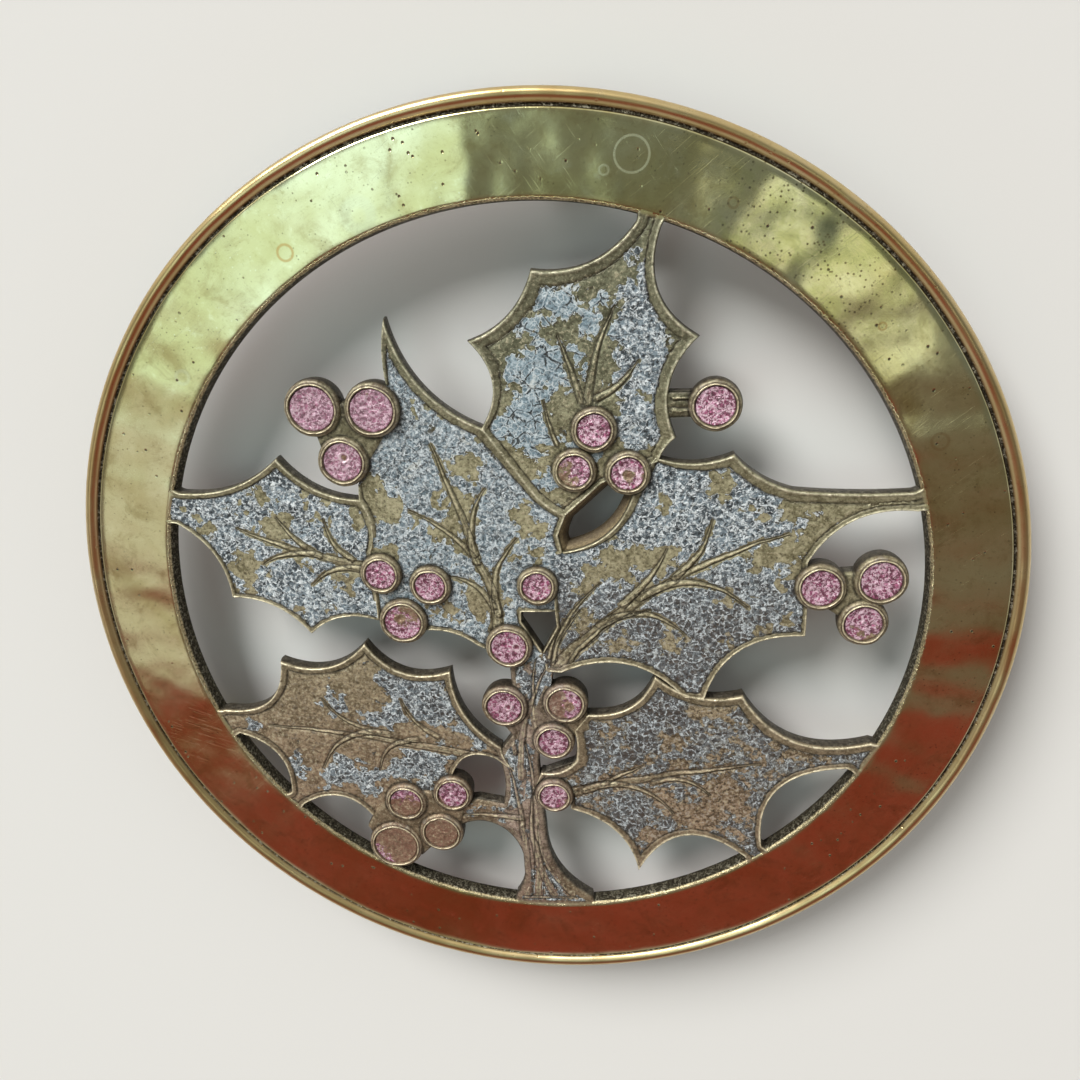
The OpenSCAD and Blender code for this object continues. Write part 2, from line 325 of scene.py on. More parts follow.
# The polish has left broad waves, which bend what the ring reflects
sway = point.grain(0.055, 2.0, 0.5)
ripple = x.node("ShaderNodeCombineXYZ", {}, {0: radius * 0.02, 1: turn * 5.0})
ring_relief = ripple.grain(1.0, 1.0).relief(0.9, sway.relief(0.75))
ring_relief = brushed.relief(0.003, ring_relief)
ring_relief = (1 - scratches).relief(0.003, ring_relief)
ring_relief = (rub_lines * rubbed).relief(0.004, ring_relief)
ring_relief = speckle.relief(0.006, ring_relief)
ring_relief = (1 - pits).relief(0.05, ring_relief)
ring_relief = (rough_skin * skin.most(brim)).relief(0.16, ring_relief)
surface(point, Base_Color=metal, Metallic=1.0, Roughness=ring_roughness, Normal=ring_relief)

# Above this height the polished metal isn't quite flat
upper_z, wave, wave_scale = 13.5, 0.018, 55
ring_steps = 360
bm = turned(ring_profile, ring_steps, closed=True)
for v in bm.verts:
    if v.co.z > upper_z * mm:
        v.co.z += wave * mm * noise.noise(v.co * wave_scale)
ring = piece_from(bm, "ring", polished_brass)
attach(ring, "root")
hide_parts("casting")

# THE FEET
# Three turned brass feet stand under the ring, each with a stud screwed up into a cast boss.
# The collar meets the boss, the waist is narrow, and the toe is rounded where it rests.

foot_ring = 80.5
foot_profile = [
    (0, 0.02), (3.2, 0.0), (3.9, 0.05), (4.3, 0.22), (4.48, 0.6), (4.48, 1.1), (4.36, 1.5),
    (4.0, 1.95), (3.55, 2.5), (3.3, 3.1), (3.25, 3.8), (3.25, 5.0), (3.3, 5.6), (3.5, 6.05),
    (3.9, 6.3), (4.7, 6.42), (5.25, 6.6), (5.45, 6.95), (5.48, 7.4), (5.35, 7.8), (5.1, 7.95),
    (4.9, 8.0), (2.0, 8.0), (2.0, 12.4), (0, 12.4)]
boss_profile = [(0, 8.02), (5.0, 8.02), (5.35, 8.12), (5.5, 8.4), (5.5, 9.4), (5.5, 10.6),
                (5.5, 11.1), (0, 11.1)]

turned_brass, point = new_finish("turned_brass")
z = cross_axes(point)[2]
rings = z.node("ShaderNodeCombineXYZ", {}, {2: z * 9.0}).grain(1.0, 2.0)
stain = point.grain(0.5, 5.0, 0.65)
metal = stain.rise(0.35, 0.7).tint((0.36, 0.27, 0.12), (0.64, 0.55, 0.29))
surface(point, Base_Color=metal, Metallic=1.0, Roughness=0.24 + 0.22 * stain,
        Normal=rings.relief(0.02))

sand_brass, point = new_finish("sand_brass")
z = cross_axes(point)[2]
skin = point.grain(2.2, 5.0, 0.7)
metal = skin.rise(0.3, 0.7).tint((0.12, 0.085, 0.045), (0.33, 0.26, 0.14))
# Painted shade: the bosses and the bean hole's walls are coloured darker lower down
metal = (z.fall(12.2, 13.6) * 0.65).tint(metal, (0.075, 0.055, 0.038))
surface(point, Base_Color=metal, Metallic=0.5, Roughness=0.4 + 0.2 * skin,
        Normal=skin.relief(0.2))

foot_count, foot_steps = 3, 48
for i in range(foot_count):
    angle = math.radians(90 + 360 / foot_count * i)
    shift = Vector((math.cos(angle), math.sin(angle), 0)) * foot_ring * mm
    bm = turned(foot_profile, foot_steps)
    bmesh.ops.translate(bm, verts=bm.verts, vec=shift)
    foot = piece_from(bm, f"turned_foot_{i + 1}", turned_brass)
    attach(foot, "root")
    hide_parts(f"foot_{i + 1}")
    bm = turned(boss_profile, foot_steps)
    bmesh.ops.translate(bm, verts=bm.verts, vec=shift)
    boss = piece_from(bm, f"boss_{i + 1}", sand_brass)
    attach(boss, "root")
    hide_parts("casting")

# THE LEAVES AND THE STEM
# Six holly leaves and their stem, cast with the ring: each has a raised border, worn bright and
# partly painted as highlight, and raised veins with a dark line along both sides, partly patina
# and partly painted shade. The walls flare outwards below.

# Outlines, anticlockwise, in shares of the opening's radius: x, y, the bow of the edge, and the
# border's width in millimetres. A negative width is half of a ridge shared with the next leaf, and
# an edge without a bow lies in the ring.
leaf_edges = {
    "top_leaf": [
        (0.075, 0.235, 0, 1.2), (0.165, 0.325, 0, 0.9), (0.304, 0.386, 0.08, 1.4),
        (0.343, 0.447, 0.17, 2.3), (0.385, 0.694, 0.2, 2.1), (0.292, 0.962, None, 1.0),
        (0.237, 0.972, 0.15, 1.8), (-0.012, 0.842, 0.13, 2.7), (-0.165, 0.672, 0.2, 2.2),
        (-0.135, 0.458, 0, -1.0), (0.0, 0.285, -0.05, -1.0)],
    "centre_leaf": [
        (-0.16, -0.145, 0, 0.8), (-0.1, -0.17, 0, -0.3), (-0.02, -0.19, 0, -0.3),
        (0.018, -0.16, 0, 0.5), (-0.01, -0.115, 0, 0.6), (-0.04, -0.07, 0, 0.6),
        (-0.04, -0.04, 0, 0.8), (0.05, -0.035, 0, -0.3), (0.045, 0.125, 0, -0.3),
        (0.068, 0.134, 0, 0.9), (0.056, 0.18, 0, 1.0), (0.075, 0.235, 0.05, -1.0),
        (0.0, 0.285, 0, -1.0),
        (-0.135, 0.458, 0.13, 1.7), (-0.371, 0.722, -0.05, 1.5), (-0.372, 0.56, 0, -0.5),
        (-0.4, 0.42, 0, -0.5), (-0.46, 0.3, 0, -0.5), (-0.46, 0.258, 0.13, -0.9),
        (-0.44, 0.11, 0, -0.4), (-0.43, -0.085, 0, 0.8), (-0.37, -0.08, 0, 0.8),
        (-0.3, -0.108, 0.1, 0.8)],
    "left_leaf": [
        (-0.973, 0.266, None, 0.8), (-0.992, 0.178, 0.14, 0.7), (-0.834, -0.036, 0.13, 0.7),
        (-0.62, -0.135, 0.15, 0.9), (-0.43, -0.085, 0, -0.4), (-0.44, 0.11, -0.13, -0.9),
        (-0.46, 0.258, 0.12, 1.3), (-0.674, 0.361, 0.11, 1.2)],
    "right_leaf": [
        (0.03, -0.215, 0, 0.8), (0.07, -0.215, 0.19, 1.2), (0.4, -0.272, 0, 1.1),
        (0.455, -0.275, 0.2, 1.2), (0.702, -0.072, 0, 0.8), (0.7, 0, 0, 0.8),
        (0.69, 0.135, 0.17, 1.1), (0.962, 0.287, None, 0.8), (0.952, 0.338, 0.02, 1.6),
        (0.64, 0.322, 0.08, 2.1), (0.487, 0.409, 0.1, 2.0), (0.296, 0.396, 0, -0.6),
        (0.245, 0.3, 0.16, 1.5), (0.068, 0.134, 0, -0.3), (0.045, 0.125, 0, -0.3),
        (0.05, -0.035, 0, 0.7), (0.056, -0.08, 0, 0.6), (0.018, -0.16, 0, -0.3)],
    "low_left_leaf": [
        (-0.05, -0.55, 0.1, 0.5), (-0.1, -0.465, 0.13, 1.3), (-0.238, -0.231, 0.2, 1.5),
        (-0.474, -0.16, 0.18, 1.3), (-0.718, -0.228, 0.26, 1.5), (-0.923, -0.405, None, 0.8),
        (-0.883, -0.48, 0.215, 1.2), (-0.742, -0.676, None, 0.8), (-0.705, -0.715, 0.25, 1.1),
        (-0.475, -0.735, 0, 0.9), (-0.4, -0.68, 0, -0.4), (-0.27, -0.66, 0, 0.8),
        (-0.237, -0.552, 0.25, 1.0), (-0.115, -0.502, 0, 0.5)],
    "low_right_leaf": [
        (0.1, -0.6, 0, -0.5), (0.1, -0.655, 0.16, 1.1), (0.3, -0.855, 0.32, 1.6),
        (0.612, -0.797, None, 0.8), (0.66, -0.76, 0.27, 1.1), (0.85, -0.465, None, 0.8),
        (0.925, -0.39, 0.2, 1.9), (0.556, -0.258, 0.14, 1.9), (0.321, -0.214, 0.19, 1.6),
        (0.143, -0.343, 0, 1.2), (0.106, -0.395, 0.05, 1.8),
        (0.112, -0.492, 0.16, 2.2), (0.015, -0.54, 0, 1.2), (0.0, -0.58, 0, -0.4)],
    "stem": [
        (-0.06, -0.996, None, 1.0), (0.17, -0.985, 0.14, 1.6), (0.028, -0.74, 0, 1.4),
        (0.012, -0.6, 0, 1.2), (0.005, -0.5, 0, 1.2), (0.03, -0.35, 0, -0.5),
        (0.045, -0.215, 0, -0.5), (0.018, -0.16, 0, -0.4), (-0.02, -0.19, 0, -0.4),
        (-0.072, -0.2, 0, 1.0), (-0.066, -0.28, 0, 1.0), (-0.065, -0.42, 0, 1.0),
        (-0.11, -0.49, 0.08, 1.2), (-0.095, -0.655, 0, 1.0), (-0.17, -0.645, 0, 1.0),
        (-0.24, -0.66, 0, -0.4), (-0.23, -0.745, 0.18, 1.2), (-0.09, -0.745, 0.08, 1.3),
        (-0.038, -0.83, 0.0, 1.3), (-0.034, -0.9, 0.06, 1.3)]}

# Veins: start, end, bow and half the width at the root in millimetres
leaf_veins = {
    "top_leaf": [
        (0.115, 0.53, 0.055, 0.69, 0, 0.62), (0.13, 0.53, 0.185, 0.76, 0.05, 0.72),
        (0.15, 0.54, 0.245, 0.635, -0.08, 0.6), (0.055, 0.42, 0.02, 0.53, 0.05, 0.35)],
    "centre_leaf": [
        (-0.105, -0.1, -0.33, 0.228, -0.18, 0.95), (-0.155, 0.1, -0.27, 0.41, -0.02, 0.8),
        (-0.16, 0.12, -0.13, 0.3, 0.12, 0.7), (-0.1, -0.05, -0.05, 0.165, 0.14, 0.75),
        (-0.115, -0.03, -0.23, 0.05, -0.14, 0.6)],
    "left_leaf": [
        (-0.455, 0.07, -0.8, 0.165, 0.03, 0.85), (-0.6, 0.105, -0.69, 0.2, 0.05, 0.6),
        (-0.49, 0.09, -0.56, 0.2, 0.12, 0.5), (-0.58, 0.095, -0.735, 0.065, -0.12, 0.6),
        (-0.46, 0.06, -0.605, 0.01, -0.15, 0.65)],
    "right_leaf": [
        (0.055, -0.2, 0.635, 0.208, 0.065, 1.15), (0.36, 0.075, 0.445, 0.24, -0.1, 0.6),
        (0.27, 0.015, 0.55, 0, 0.2, 0.75), (0.17, -0.07, 0.395, -0.085, 0.2, 0.72),
        (0.23, -0.005, 0.335, 0.155, -0.05, 0.72), (0.05, -0.18, 0.17, 0.05, 0.1, 0.45),
        (0.085, -0.2, 0.3, -0.02, 0.12, 0.4), (0.045, -0.19, 0.115, -0.03, 0.05, 0.35),
        (0.035, -0.175, 0.075, -0.06, 0.02, 0.35)],
    "low_left_leaf": [
        (-0.065, -0.52, -0.77, -0.437, -0.02, 1.0), (-0.45, -0.44, -0.61, -0.34, 0.1, 0.45),
        (-0.42, -0.445, -0.62, -0.565, -0.2, 0.75), (-0.34, -0.455, -0.455, -0.565, -0.2, 0.6),
        (-0.28, -0.445, -0.385, -0.33, 0.1, 0.5)],
    "low_right_leaf": [
        (0.11, -0.597, 0.62, -0.472, 0.02, 0.95), (0.19, -0.565, 0.3, -0.495, 0, 0.5),
        (0.33, -0.548, 0.49, -0.58, 0.15, 0.55), (0.14, -0.59, 0.39, -0.65, 0.2, 0.75)],
    "stem": [
        (-0.03, -0.97, -0.085, -0.5, -0.04, 0.95), (0.005, -0.97, -0.03, -0.44, -0.03, 1.0),
        (0.055, -0.965, -0.008, -0.6, 0.08, 0.95), (0.11, -0.955, 0.012, -0.7, 0.13, 0.75),
        (-0.045, -0.56, 0.034, -0.19, 0.06, 0.9), (-0.06, -0.48, -0.05, -0.2, 0.05, 0.55),
        (0.0, -0.4, 0.0, -0.17, 0.04, 0.5), (-0.05, -0.7, -0.22, -0.7, -0.03, 0.6),
        (-0.035, -0.983, 0.155, -0.966, 0, 0.3)]}

# Berries: x, y and the cup's radius, in shares of the opening's radius
berry_cups = [
    (-0.562, 0.499, 0.072), (-0.41, 0.499, 0.07), (-0.493, 0.363, 0.065), (0.144, 0.464, 0.056),
    (0.097, 0.358, 0.055), (0.23, 0.356, 0.056), (0.434, 0.533, 0.063), (0.726, 0.07, 0.063),
    (0.872, 0.097, 0.066), (0.841, -0.023, 0.062), (-0.413, 0.055, 0.055), (-0.281, 0.028, 0.055),
    (-0.359, -0.081, 0.064), (0.004, 0.039, 0.053), (-0.073, -0.141, 0.062),
    (-0.087, -0.326, 0.062), (0.081, -0.306, 0.06), (0.05, -0.429, 0.056),
    (0.052, -0.608, 0.053), (-0.38, -0.662, 0.06), (-0.241, -0.623, 0.056),
    (-0.278, -0.76, 0.063), (-0.416, -0.815, 0.078)]

# Across the border, from the edge inwards: share of its width, and height against the top
border_profile = [(0, -0.36), (0.03, -0.14), (0.07, -0.03), (0.12, 0.0), (0.19, -0.03),
                  (0.28, -0.13), (0.45, -0.19), (0.68, -0.17), (0.82, -0.2), (0.92, -0.36),
                  (1.0, -0.52), (1.1, -0.47), (1.3, -0.41)]
ridge_profile = [(0, -0.03), (0.3, -0.06), (0.6, -0.2), (0.82, -0.36), (0.95, -0.48),
                 (1.1, -0.45), (1.3, -0.41)]
bark_profile = [(0, -0.7), (0.1, -0.5), (0.3, -0.36), (0.6, -0.28), (1.0, -0.25), (1.3, -0.25)]
bark_joint = [(0, -0.3), (1.3, -0.25)]
# Down the wall, from the edge: distance outwards and height against the top
wall_profile = [(0.05, -0.6), (0.12, -1.05), (0.16, -1.5), (0.14, -2.1), (0.08, -2.7),
                (0.04, -3.05), (0.0, -3.19)]
# The ring's rounded inner edge: radius, and height against the top
ring_brim = [(71.5, -0.66), (71.8, -0.47), (72.0, -0.25), (72.3, -0.13), (72.75, -0.07),
             (73.1, -0.05)]
# Where a leaf begins to run level into the ring, and over what length
met_r, met_run = 71.7, 0.7
# Where an outline bends into the ring and where it ends there, in shares, with its turn and bow,
# and the width that the border gains and ends at
near_r, root_r, root_turn, root_bow, root_widening, root_width = 0.98, 1.021, 0.02, 0.12, 0.3, 1.8
# Stands for a place that no border or vein is near
far = 9.0
# How far apart points stand along an edge, along an edge for the search, and along a vein
edge_gap, search_gap, vein_gap = 0.24, 0.03, 0.26
# A vein's height, the furrow along a wide one and the ditch on both sides
vein_height, furrow_depth, ditch_depth = 0.27, 0.13, 0.17
# What the cast skin's noises lift, from the broad to the fine, and the finest on the borders
broad_skin, middle_skin, fine_skin, border_skin = 0.02, 0.04, 0.02, 0.05


def held(value, low=0.0, high=1.0):
    """Keeps a value between two others."""
    return max(low, min(high, value))


def uneven(p, scale, layer):
    """A smooth noise in the plane. Each layer has its own."""
    return noise.noise(Vector((p.x * scale, p.y * scale, layer)))


def new_layers(bm, *names):
    """Layers that hold a value at each vertex for the finish."""
    return [bm.verts.layers.float.new(name) for name in names]


def rooted(rows):
    """Runs an outline on into the ring along the edges that have no bow."""
    made = []
    for row, before in zip(rows, rows[-1:] + rows[:-1]):
        angle, away = math.atan2(row[1], row[0]), math.hypot(row[0], row[1])
        near = [v * min(1, near_r / away) for v in row[:2]]
        if row[2] is None:
            angle -= root_turn
            made.append((*near, root_bow, row[3] + root_widening))
            made.append((root_r * math.cos(angle), root_r * math.sin(angle), 0, root_width))
        elif before[2] is None:
            angle += root_turn
            made.append((root_r * math.cos(angle), root_r * math.sin(angle), root_bow,
                         abs(row[3]) + root_widening))
            made.append((*near, row[2], row[3]))
        else:
            made.append(row)
    return made


def walked(rows, gap):
    """Points along a closed outline of bowed edges, about gap apart, with the border's width."""
    found = []
    for row, following in zip(rows, rows[1:] + rows[:1]):
        start, end = Vector(row[:2]) * opening_r, Vector(following[:2]) * opening_r
        run = end - start
        across = Vector((-run.y, run.x)) * row[2]
        count = max(2, round(run.length / gap))
        for i in range(count):
            t = i / count
            width = abs(row[3]) + (abs(following[3]) - abs(row[3])) * t
            found.append((start + run * t + across * (4 * t * (1 - t)), width, row[3] < 0))
    return found


def vein_walk(vein, gap):
    """Points along a vein with their half width and the direction across, in millimetres."""
    start, end = Vector(vein[:2]) * opening_r, Vector(vein[2:4]) * opening_r
    run = end - start
    across = Vector((-run.y, run.x))
    count = max(4, round(run.length / gap))
    found = []
    for i in range(count + 1):
        t = i / count
        way = run + across * (4 * (1 - 2 * t) * vein[4])
        place = start + run * t + across * (4 * t * (1 - t) * vein[4])
        side = Vector((-way.y, way.x)).normalized()
        place += side * (0.35 * uneven(place, 0.16, 3) + 0.1 * uneven(place, 0.6, 3))
        found.append((place, 1.04 * vein[5] * max(0.06, 1 - t) ** 0.8, side))
    return found


def tree_of(points):
    """A search tree over points in the plane."""
    tree = kdtree.KDTree(len(points))
    for i, p in enumerate(points):
        tree.insert((p[0], p[1], 0), i)
    tree.balance()
    return tree


def between(table, value):
    """Reads a table of pairs at a value."""
    for (a, low), (b, high) in zip(table, table[1:]):
        if value < b:
            return low + (high - low) * max(0.0, value - a) / (b - a)
    return table[-1][1]


def bell(distance, reach):
    """1 in the middle, falling away with distance."""
    return math.exp(-(distance / reach) ** 2)


cup_tree = tree_of([(cx * opening_r, cy * opening_r) for cx, cy, _ in berry_cups])


def cast_sheet(edge_rows, veins, border=border_profile, ridge=ridge_profile, line=1.0):
    """The top of a leaf: a relief over a triangle mesh that follows its border and veins."""
    field = border[-1][1]
    walk_round = walked(edge_rows, edge_gap)
    edge = [step[0] for step in walk_round]
    fine_walk = walked(edge_rows, search_gap)
    shore = tree_of([step[0] for step in fine_walk])
    inside = BVHTree.FromPolygons([(p.x, p.y, 0) for p in edge],
                                  geometry.tessellate_polygon([[p.to_3d() for p in edge]]))
    walks = [vein_walk(vein, vein_gap) for vein in veins]
    trees = [(tree_of([step[0] for step in walk]), walk) for walk in walks]
    taken, points, grid = {}, [], 0.3

    def square_of(p):
        """The square of a grid that a point lies in."""
        return math.floor(p.x / grid), math.floor(p.y / grid)

    def offer(p, room, reach):
        """Takes a point that lies inside, at least reach from the edge, with room to its like."""
        if inside.ray_cast((p.x, p.y, 1), (0, 0, -1))[0] is None:
            return
        if shore.find((p.x, p.y, 0))[2] < reach:
            return
        column, row = square_of(p)
        for i in (column - 1, column, column + 1):
            for j in (row - 1, row, row + 1):
                for other in taken.get((i, j), ()):
                    if (other - p).length < room:
                        return
        taken.setdefault((column, row), []).append(p)
        points.append(p)

    count = len(edge)
    for p in edge:
        taken.setdefault(square_of(p), []).append(p)
    # Along the border, along the veins, and then over the rest
    for share, _ in border_profile[1:]:
        for i, (p, width, _) in enumerate(walk_round):
            way = edge[(i + 1) % count] - edge[i - 1]
            normal = Vector((-way.y, way.x)).normalized()
            offer(p + normal * (share * width), 0.07, max(0.05, share * width * 0.96))
    for walk in walks:
        for place, half, across in walk:
            for reach in (0, 0.45 * half, 0.85 * half, half + 0.1, half + 0.3):
                offer(place + across * reach, 0.1, 0.1)
                offer(place - across * reach, 0.1, 0.1)
    low_x, high_x = min(p.x for p in edge), max(p.x for p in edge)
    low_y, high_y = min(p.y for p in edge), max(p.y for p in edge)
    pitch, row_share, room = 0.44, 0.866, 0.26
    for j in range(int((high_y - low_y) / (pitch * row_share)) + 1):
        for i in range(int((high_x - low_x) / pitch) + 1):
            offer(Vector((low_x + (i + 0.5 * (j % 2)) * pitch, low_y + j * pitch * row_share)),
                  room, grid)

    made = geometry.delaunay_2d_cdt(edge + points, [(i, (i + 1) % count) for i in range(count)],
                                    [], 1, 1e-5)
    bm = bmesh.new()
    layers = new_layers(bm, "shore", "crease_shade_and_patina", "crest", "rib", "vein", "met")
    verts = []
    for p in made[0]:
        spot = Vector((p.x, p.y, 0))
        _, index, depth = shore.find(spot)
        _, width, shared = fine_walk[index]
        wobble, fine, rough = uneven(p, 0.3, 0), uneven(p, 1.1, 5), uneven(p, 2.3, 9)
        met = held((p.length - met_r) / met_run)
        share = depth / width
        if share > 0.2:
            share *= 1 + 0.12 * wobble + 0.12 * fine
        # A narrow shared ridge sinks into the fields
        stands = held((width - 0.4) / 0.3) if shared else 1.0
        height = field + (between(ridge if shared else border, share) - field) * stands
        # Dark lines, partly patina and partly painted shade, at the border's foot, beside the veins
        # and round the cups
        crease_shade_and_patina = stands * line * bell((share - 1.0) * width, 0.2) * (0.8 + 0.6 * fine)
        crest = stands * line * bell((share - (0.0 if shared else 0.13)) * width,
                                     0.17 + 0.06 * rough)
        if stands < 0.5:
            share = far
        rib, near = 0.0, far
        for tree, walk in trees:
            _, index, gap = tree.find(spot)
            half = walk[index][1]
            near = min(near, max(0.0, gap - half))
            if gap < half + 1.0 and share > 0.95:
                lift = vein_height * max(0, 1 - (gap / half) ** 3) * min(1, half / 0.4)
                if half > 0.55:
                    lift -= furrow_depth * bell(gap, 0.15)
                    crease_shade_and_patina = max(crease_shade_and_patina, 0.6 * bell(gap, 0.1))
                ditch = ditch_depth * bell(gap - half - 0.08, 0.15)
                here = field + lift - ditch
                height = max(height, here) if gap < half else min(height, here)
                crease_shade_and_patina = max(crease_shade_and_patina, bell(gap - half - 0.06, 0.14 + 0.05 * rough))
                rib = max(rib, max(0, 1 - (gap / half) ** 2))
        _, index, gap = cup_tree.find(spot)
        gap -= berry_cups[index][2] * opening_r
        crease_shade_and_patina = max(crease_shade_and_patina, bell(gap - 0.25, 0.22))
        finest = border_skin if share < 0.95 else fine_skin
        height += middle_skin * fine + broad_skin * wobble + finest * rough
        # Near the ring the sheet runs level into it, with its edges sunk into the ring's brim
        inward = min(1.0, depth / 0.7)
        inward *= inward * (3 - 2 * inward)
        level = between(ring_brim, p.length) * (1 - inward) - 0.035 * inward
        height = (min(0.0, height) if field < 0 else height) * (1 - met) + level * met
        v = bm.verts.new((p.x * mm, p.y * mm, (top_z + height) * mm))
        for layer, value in zip(layers, (share if depth < 3 else far, crease_shade_and_patina * (1 - met),
                                         crest * (1 - met), rib, near, met * inward)):
            v[layer] = value
        verts.append(v)
    for face in made[2]:
        bm.faces.new([verts[i] for i in face])
    return bm


def outward(bm):
    """For each vertex of the open edge, the way out in the plane, longer at sharp corners."""
    ways = {}
    for edge in bm.edges:
        if edge.is_boundary:
            a, b = edge.verts
            run = (b.co - a.co).to_2d()
            normal = Vector((-run.y, run.x)).normalized()
            middle = edge.link_faces[0].calc_center_median()
            if normal.dot(((a.co + b.co) / 2 - middle).to_2d()) < 0:
                normal.negate()
            for v in (a, b):
                ways.setdefault(v, []).append(normal)
    for v, normals in ways.items():
        total = sum(normals, Vector((0, 0)))
        if total.length < 1e-6:
            total = normals[0].copy()
        total.normalize()
        ways[v] = total / max(0.55, total.dot(normals[0]))
    return ways


def walled(bm, profile):
    """Draws the open edge out and down along a profile, and closes the underside."""
    last = {v: (way, v.co.copy()) for v, way in outward(bm).items()}
    edges = [edge for edge in bm.edges if edge.is_boundary]
    for out, height in profile:
        made = bmesh.ops.extrude_edge_only(bm, edges=edges)["geom"]
        edges = [e for e in made if isinstance(e, bmesh.types.BMEdge)]
        fresh = {}
        for v in made:
            if isinstance(v, bmesh.types.BMVert):
                above = next(e.other_vert(v) for e in v.link_edges if e.other_vert(v) in last)
                way, start = last[above]
                v.co = (start.x + way.x * out * mm, start.y + way.y * out * mm,
                        (top_z + height) * mm)
                fresh[v] = way, start
        last = fresh
    bottom = bmesh.ops.contextual_create(bm, geom=edges)["faces"]
    bmesh.ops.triangulate(bm, faces=bottom)
    bmesh.ops.recalc_face_normals(bm, faces=bm.faces)


def bare_brass(point):
    """Old unpolished brass: olive, greener and darker high on the spray, and red-brown low on it, a
    painted reflection of red surroundings. Gives its colour, grain and stains.
    """
    x, y, _ = cross_axes(point)
    stain = point.grain(0.33, 6.0, 0.72, 0.6)
    sand = point.grain(1.5, 3.0, 0.8)
    patch = stain.rise(0.34, 0.66)
    metal = patch.tint((0.185, 0.168, 0.09), (0.44, 0.41, 0.26))
    high, low = y.rise(22, 48) * 0.85, y.fall(-50, 20) * 0.8
    bark = (x + 1).math("ABSOLUTE").fall(5, 9) * y.fall(-16, -9)
    trunk = y.rise(-68, -54).tint(patch.tint((0.12, 0.07, 0.055), (0.36, 0.24, 0.20)),
                                  patch.tint((0.18, 0.125, 0.10), (0.56, 0.44, 0.38)))
    metal = layered(
        metal,
        (high, patch.tint((0.085, 0.092, 0.055), (0.23, 0.235, 0.15))),
        (low, patch.tint((0.15, 0.092, 0.056), (0.38, 0.255, 0.17))),
        (bark * 0.7, trunk),
        (sand.rise(0.54, 0.62) * 0.6, (0.60, 0.54, 0.37)),
        (sand.fall(0.38, 0.46) * 0.65, (0.05, 0.038, 0.022)))
    return metal, sand, stain


cast_brass, point = new_finish("cast_brass")
_, y, z = cross_axes(point)
crease_shade_and_patina, crest, rib, met = point.marked("crease_shade_and_patina", "crest", "rib", "met")
metal, sand, stain = bare_brass(point)
ragged = point.grain(1.0, 5.0, 0.75)
# Border crests worn bright, with painted highlight, brighter and warmer low on the spray
worn_crest_and_highlight = crest * ragged.rise(0.36, 0.54) * z.rise(13.75, 14.05)
# Paler patches along the vein ribs: worn brass and painted highlight
ridge = rib.rise(0.55, 0.95) * ragged.rise(0.44, 0.58)
# Painted shade: the leaves' walls are coloured nearly black below the top, with pale specks
wall_shade = z.fall(13.4, 13.85)
metal = layered(
    metal,
    ((1 - rib) * 0.35, (0.085, 0.072, 0.04)),
    (ridge * 0.8, (0.68, 0.61, 0.41)),
    (worn_crest_and_highlight * 0.9, y.rise(-20, 40).tint((0.90, 0.80, 0.55), (0.60, 0.58, 0.41))))
glint = crest * point.grain(0.8, 3.0, 0.7).rise(0.52, 0.6) * z.rise(13.9, 14.1)
metal = (glint * 0.6).tint(metal, (1.0, 0.93, 0.70))
shaded_wall_skin = sand.rise(0.35, 0.6).tint((0.016, 0.013, 0.010), (0.07, 0.058, 0.043))
shaded_wall_skin = (ragged.rise(0.54, 0.62) * 0.45).tint(shaded_wall_skin, (0.27, 0.25, 0.20))
metal = layered(
    metal,
    (wall_shade * 0.92, shaded_wall_skin),
    # Painted shade, with some dark patina, along the creases
    (crease_shade_and_patina * 0.95, (0.022, 0.016, 0.01)),
    (met, clouded_brass(point)[0]))
surface(point, Base_Color=metal, Metallic=0.45 + 0.55 * met,
        Roughness=0.5 - 0.18 * worn_crest_and_highlight + 0.15 * crease_shade_and_patina - 0.25 * met,
        Normal=(sand * (1 - met)).relief(0.14, (stain * (1 - met)).relief(0.08)))

sheets = {}
for name, rows in leaf_edges.items():
    if name == "stem":
        bm = cast_sheet(rooted(rows), leaf_veins[name], bark_profile, bark_joint, 0.0)
    else:
        bm = cast_sheet(rooted(rows), leaf_veins[name])
    sheets[name] = bm.copy()
    walled(bm, wall_profile)
    leaf = piece_from(bm, name, cast_brass)
    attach(leaf, "root")
    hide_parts("casting")

# THE WEBS
# Short cast bridges tie the outlying berries to each other and to the leaves. Those between three
# or four berries stand nearly as high as the cups.

web_edges = [
    [(0.3, 0.56), (0.3, 0.495), (0.43, 0.505), (0.43, 0.565)],
    [(-0.58, 0.5), (-0.53, 0.33), (-0.46, 0.31), (-0.38, 0.44), (-0.4, 0.53)],
    [(0.7, 0.04), (0.83, -0.04), (0.89, 0.06), (0.86, 0.12), (0.7, 0.1)],
    [(-0.5, -0.76), (-0.44, -0.85), (-0.34, -0.85), (-0.22, -0.72), (-0.2, -0.63),
     (-0.4, -0.62), (-0.47, -0.7)],
    [(-0.1, -0.38), (-0.06, -0.43), (0, -0.33), (-0.06, -0.27), (-0.1, -0.27)],
    [(-0.02, -0.37), (0.0, -0.48), (0.1, -0.42), (0.15, -0.39), (0.13, -0.29), (0.02, -0.25)],
    [(-0.05, -0.56), (0.01, -0.548), (0.11, -0.5), (0.13, -0.56), (0.08, -0.62), (-0.02, -0.62)]]
web_heights = [-0.45, 0.3, 0.3, 0.35, -0.05, -0.1, -0.5]
web_veins = [[(0.335, 0.548, 0.42, 0.55, 0, 0.5), (0.335, 0.515, 0.42, 0.52, 0, 0.5)]] + [[]] * 6

